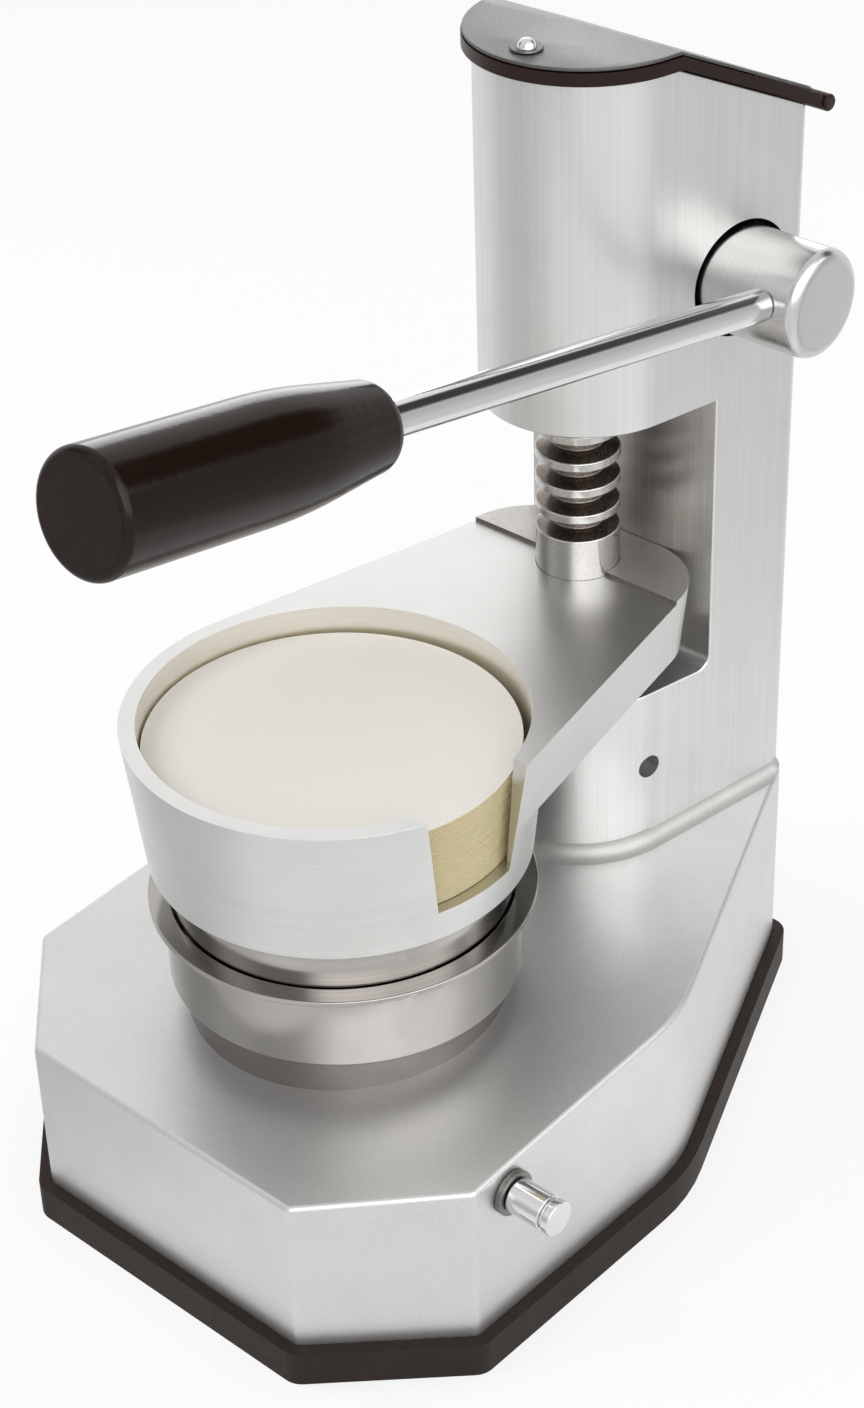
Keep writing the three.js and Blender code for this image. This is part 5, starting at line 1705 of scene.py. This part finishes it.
@dataclass
class Fittings:
    """The CAD nodes that stay as they are and get their own finishes."""

    bronze: tuple[str, ...] = ("foot_bush", "head_bush", "rod_bush", "axle_bush_right", "axle_bush_left",
                               "grip_insert")
    stainless: tuple[str, ...] = ("bottom_plate", "ejector_plate")
    chrome: tuple[str, ...] = ("ejector_rod", "ejector_pivot_pin")

    def build(self) -> None:
        """Dresses every CAD node that still shows."""
        for name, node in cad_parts.items():
            if node.hide_render:
                continue
            surface = OILED_STEEL
            if name in self.bronze:
                surface = BRONZE
            elif name in self.stainless:
                surface = STAINLESS
            elif name in self.chrome:
                surface = CHROME
            for entry in node.material_slots:
                entry.material = surface.material()
            if not node.material_slots:
                node.data.materials.append(surface.material())
            LOG.info("%s keeps its solid, in %s", name, surface.name)


@dataclass(frozen=True)
class Lamp:
    """A square soft lamp that lights what isn't metal."""

    name: str
    spot: tuple[float, float, float]
    size: float
    power: float


@dataclass(frozen=True)
class Glow:
    """A soft patch of the room as metal mirrors it: a bright panel, or a dark gap between panels.

    Its direction is given in degrees, from +X towards +Y and up from the horizon.
    """

    azimuth: float
    elevation: float
    reach: float
    fade: float
    level: float

    def direction(self) -> Vector:
        """The unit vector towards its middle."""
        turn, rise = math.radians(self.azimuth), math.radians(self.elevation)
        return Vector((math.cos(turn) * math.cos(rise), math.sin(turn) * math.cos(rise), math.sin(rise)))

    def over(self, tree: bpy.types.NodeTree, unit: bpy.types.NodeSocket, level: bpy.types.NodeSocket
             ) -> bpy.types.NodeSocket:
        """Lays the patch over the room's level.

        Args:
            tree: The world's or table's tree.
            unit: The direction that is looked in.
            level: The level without this patch.

        Returns:
            The level with it.
        """
        near = add_node(tree, "ShaderNodeVectorMath", {0: unit, 1: self.direction()}, operation="DOT_PRODUCT")
        outer, inner = math.radians(self.reach + self.fade), math.radians(self.reach - self.fade)
        share = add_node(tree, "ShaderNodeMapRange", {
            "Value": near.outputs["Value"], "From Min": math.cos(outer), "From Max": math.cos(inner)},
            interpolation_type="SMOOTHSTEP")
        return add_node(tree, "ShaderNodeMix", {
            "Factor": share.outputs["Result"], "A": level, "B": self.level},
            data_type="FLOAT").outputs["Result"]


@dataclass
class Studio:
    """A white table under soft lamps, seen from the photograph's place."""

    focal: float = 2909.08
    picture: tuple[int, int] = (864, 1408)
    pitch: float = math.radians(33.82)
    yaw: float = math.radians(43.13)
    roll: float = math.radians(-1.95)
    eye: tuple[float, float, float] = (475.1, -467.4, 609.0)
    middle: tuple[float, float, float] = (0.0, 60.0, 150.0)
    aim: tuple[float, float, float] = (0.0, 30.0, 150.0)
    table_half: float = 3000.0
    glare: float = 0.8
    horizon: float = 1.05
    zenith: float = 0.9
    ambient: float = 0.55
    lamps: tuple[Lamp, ...] = (
        Lamp("key_lamp", (-0.75, -0.55, 1.15), 0.9, 9.0),
        Lamp("fill_lamp", (0.95, -0.85, 0.9), 0.8, 5.0),
        Lamp("rear_lamp", (0.35, 1.1, 1.0), 0.9, 6.0),
    )
    room: tuple[Glow, ...] = (
        Glow(-126, -10, 30, 14, 0.6),
        Glow(10, -34, 18, 10, 1.3),
        Glow(38, -8, 17, 7, 0.72),
        Glow(140, 32, 24, 12, 1.08),
        Glow(52, 14, 14, 9, 0.6),
        Glow(46, 31, 7, 3, 2.3),
        Glow(84, 34, 10, 5, 0.05),
        Glow(68, 29, 11, 5, 0.05),
        Glow(-156, 30, 14, 9, 0.3),
        Glow(-92, 34, 14, 8, 0.6),
        Glow(-8, 38, 28, 10, 2.8),
        Glow(-44, 33, 18, 8, 3.4),
        Glow(133, 8, 12, 4, 3.6),
    )

    def camera(self) -> None:
        """Puts the camera where the photograph was taken."""
        back = Vector((math.sin(self.yaw) * math.cos(self.pitch), -math.cos(self.yaw) * math.cos(self.pitch),
                       math.sin(self.pitch)))
        right = (-back).cross(Vector((0, 0, 1))).normalized()
        up = right.cross(-back)
        across = right * math.cos(self.roll) + up * math.sin(self.roll)
        upward = up * math.cos(self.roll) - right * math.sin(self.roll)
        data = bpy.data.cameras.new("camera")
        data.sensor_width = 36.0
        data.lens = self.focal / max(self.picture) * data.sensor_width
        data.clip_start = 0.01
        eye = bpy.data.objects.new("camera", data)
        eye.matrix_world = Matrix.Translation(Vector(self.eye) * MM) @ Matrix(
            (across, upward, back)).transposed().to_4x4()
        bpy.context.scene.collection.objects.link(eye)
        bpy.context.scene.camera = eye

    def level(self, tree: bpy.types.NodeTree, where: bpy.types.NodeSocket) -> bpy.types.NodeSocket:
        """How bright the room is in a direction, as metal mirrors it.

        Args:
            tree: The world's or table's tree.
            where: The direction, of any length.

        Returns:
            The level.
        """
        unit = add_node(tree, "ShaderNodeVectorMath", {0: where}, operation="NORMALIZE").outputs[0]
        height = add_node(tree, "ShaderNodeSeparateXYZ", {0: unit}).outputs["Z"]
        level = add_node(tree, "ShaderNodeMapRange", {
            "Value": height, "From Min": 0.3, "From Max": 0.9, "To Min": self.horizon, "To Max": self.zenith},
            interpolation_type="SMOOTHSTEP").outputs["Result"]
        for glow in self.room:
            level = glow.over(tree, unit, level)
        return level

    def mirrored(self, tree: bpy.types.NodeTree, path: bpy.types.bpy_prop_collection
                 ) -> bpy.types.NodeSocket:
        """One where the ray comes from a mirror or a clear body, and nought elsewhere."""
        return add_node(tree, "ShaderNodeMath", {
            0: path["Is Glossy Ray"], 1: path["Is Transmission Ray"]}, operation="MAXIMUM").outputs[0]

    def floor(self) -> None:
        """The pale table: white to the eye but for a soft shadow, and part of the room in mirrors."""
        side = self.table_half
        table = piece("table", [(-side, -side, 0), (side, -side, 0), (side, side, 0), (-side, side, 0)],
                      [(0, 1, 2, 3)])
        material = new_material("white_table")
        tree = material.node_tree
        where = add_node(tree, "ShaderNodeTexCoord").outputs["Object"]
        away = add_node(tree, "ShaderNodeVectorMath", {0: where, 1: Vector(self.middle) * MM},
                        operation="SUBTRACT").outputs[0]
        path = add_node(tree, "ShaderNodeLightPath").outputs
        strength = add_node(tree, "ShaderNodeMix", {
            "Factor": path["Is Camera Ray"], "A": self.level(tree, away), "B": 1.0}, data_type="FLOAT")
        seen = add_node(tree, "ShaderNodeMath", {
            0: self.mirrored(tree, path), 1: path["Is Camera Ray"]}, operation="MAXIMUM")
        share = add_node(tree, "ShaderNodeMath", {0: seen.outputs[0], 1: self.glare}, operation="MULTIPLY")
        plain = add_node(tree, "ShaderNodeBsdfDiffuse", {"Color": linear("#F2F2F2")})
        bright = add_node(tree, "ShaderNodeEmission", {
            "Color": (1, 1, 1, 1), "Strength": strength.outputs["Result"]})
        mixed = add_node(tree, "ShaderNodeMixShader", {
            0: share.outputs[0], 1: plain.outputs[0], 2: bright.outputs[0]})
        add_node(tree, "ShaderNodeOutputMaterial", {"Surface": mixed.outputs[0]})
        table.data.materials.append(material)

    def surroundings(self) -> None:
        """A world that is white to the eye, even to dull surfaces, and a room of panels to metal."""
        world = bpy.data.worlds.new("studio")
        world.use_nodes = True
        tree = world.node_tree
        tree.nodes.clear()
        where = add_node(tree, "ShaderNodeTexCoord").outputs["Generated"]
        path = add_node(tree, "ShaderNodeLightPath").outputs
        light = add_node(tree, "ShaderNodeMix", {
            "Factor": self.mirrored(tree, path), "A": self.ambient, "B": self.level(tree, where)},
            data_type="FLOAT")
        seen = add_node(tree, "ShaderNodeMix", {
            "Factor": path["Is Camera Ray"], "A": light.outputs["Result"], "B": 1.0}, data_type="FLOAT")
        glow = add_node(tree, "ShaderNodeBackground", {
            "Color": (1, 1, 1, 1), "Strength": seen.outputs["Result"]})
        add_node(tree, "ShaderNodeOutputWorld", {"Surface": glow.outputs[0]})
        bpy.context.scene.world = world

    def light(self) -> None:
        """The soft lamps, each aimed at the press. Metal mirrors the room's panels in their stead."""
        target = Vector(self.aim) * MM
        for lamp in self.lamps:
            data = bpy.data.lights.new(lamp.name, "AREA")
            data.shape = "SQUARE"
            data.size = lamp.size
            data.energy = lamp.power
            made = bpy.data.objects.new(lamp.name, data)
            made.location = lamp.spot
            made.rotation_euler = (target - Vector(lamp.spot)).to_track_quat("-Z", "Y").to_euler()
            made.visible_glossy = False
            bpy.context.scene.collection.objects.link(made)

    def build(self) -> None:
        """Builds the camera, table, surroundings and lamps."""
        self.camera()
        self.floor()
        self.surroundings()
        self.light()
        bpy.context.scene.view_settings.view_transform = "Standard"


def main() -> None:
    """Builds the studio and each sub-assembly in order."""
    logging.basicConfig(level=logging.INFO, format="%(message)s")
    Studio().build()
    base = Base()
    base.build()
    column = Column(base)
    column.build()
    Cap(column).build()
    Mould().build()
    Arm().build()
    Rack().build()
    Lever().build()
    Lock().build()
    Fittings().build()
    bpy.context.view_layer.update()


if __name__ == "__main__":
    main()
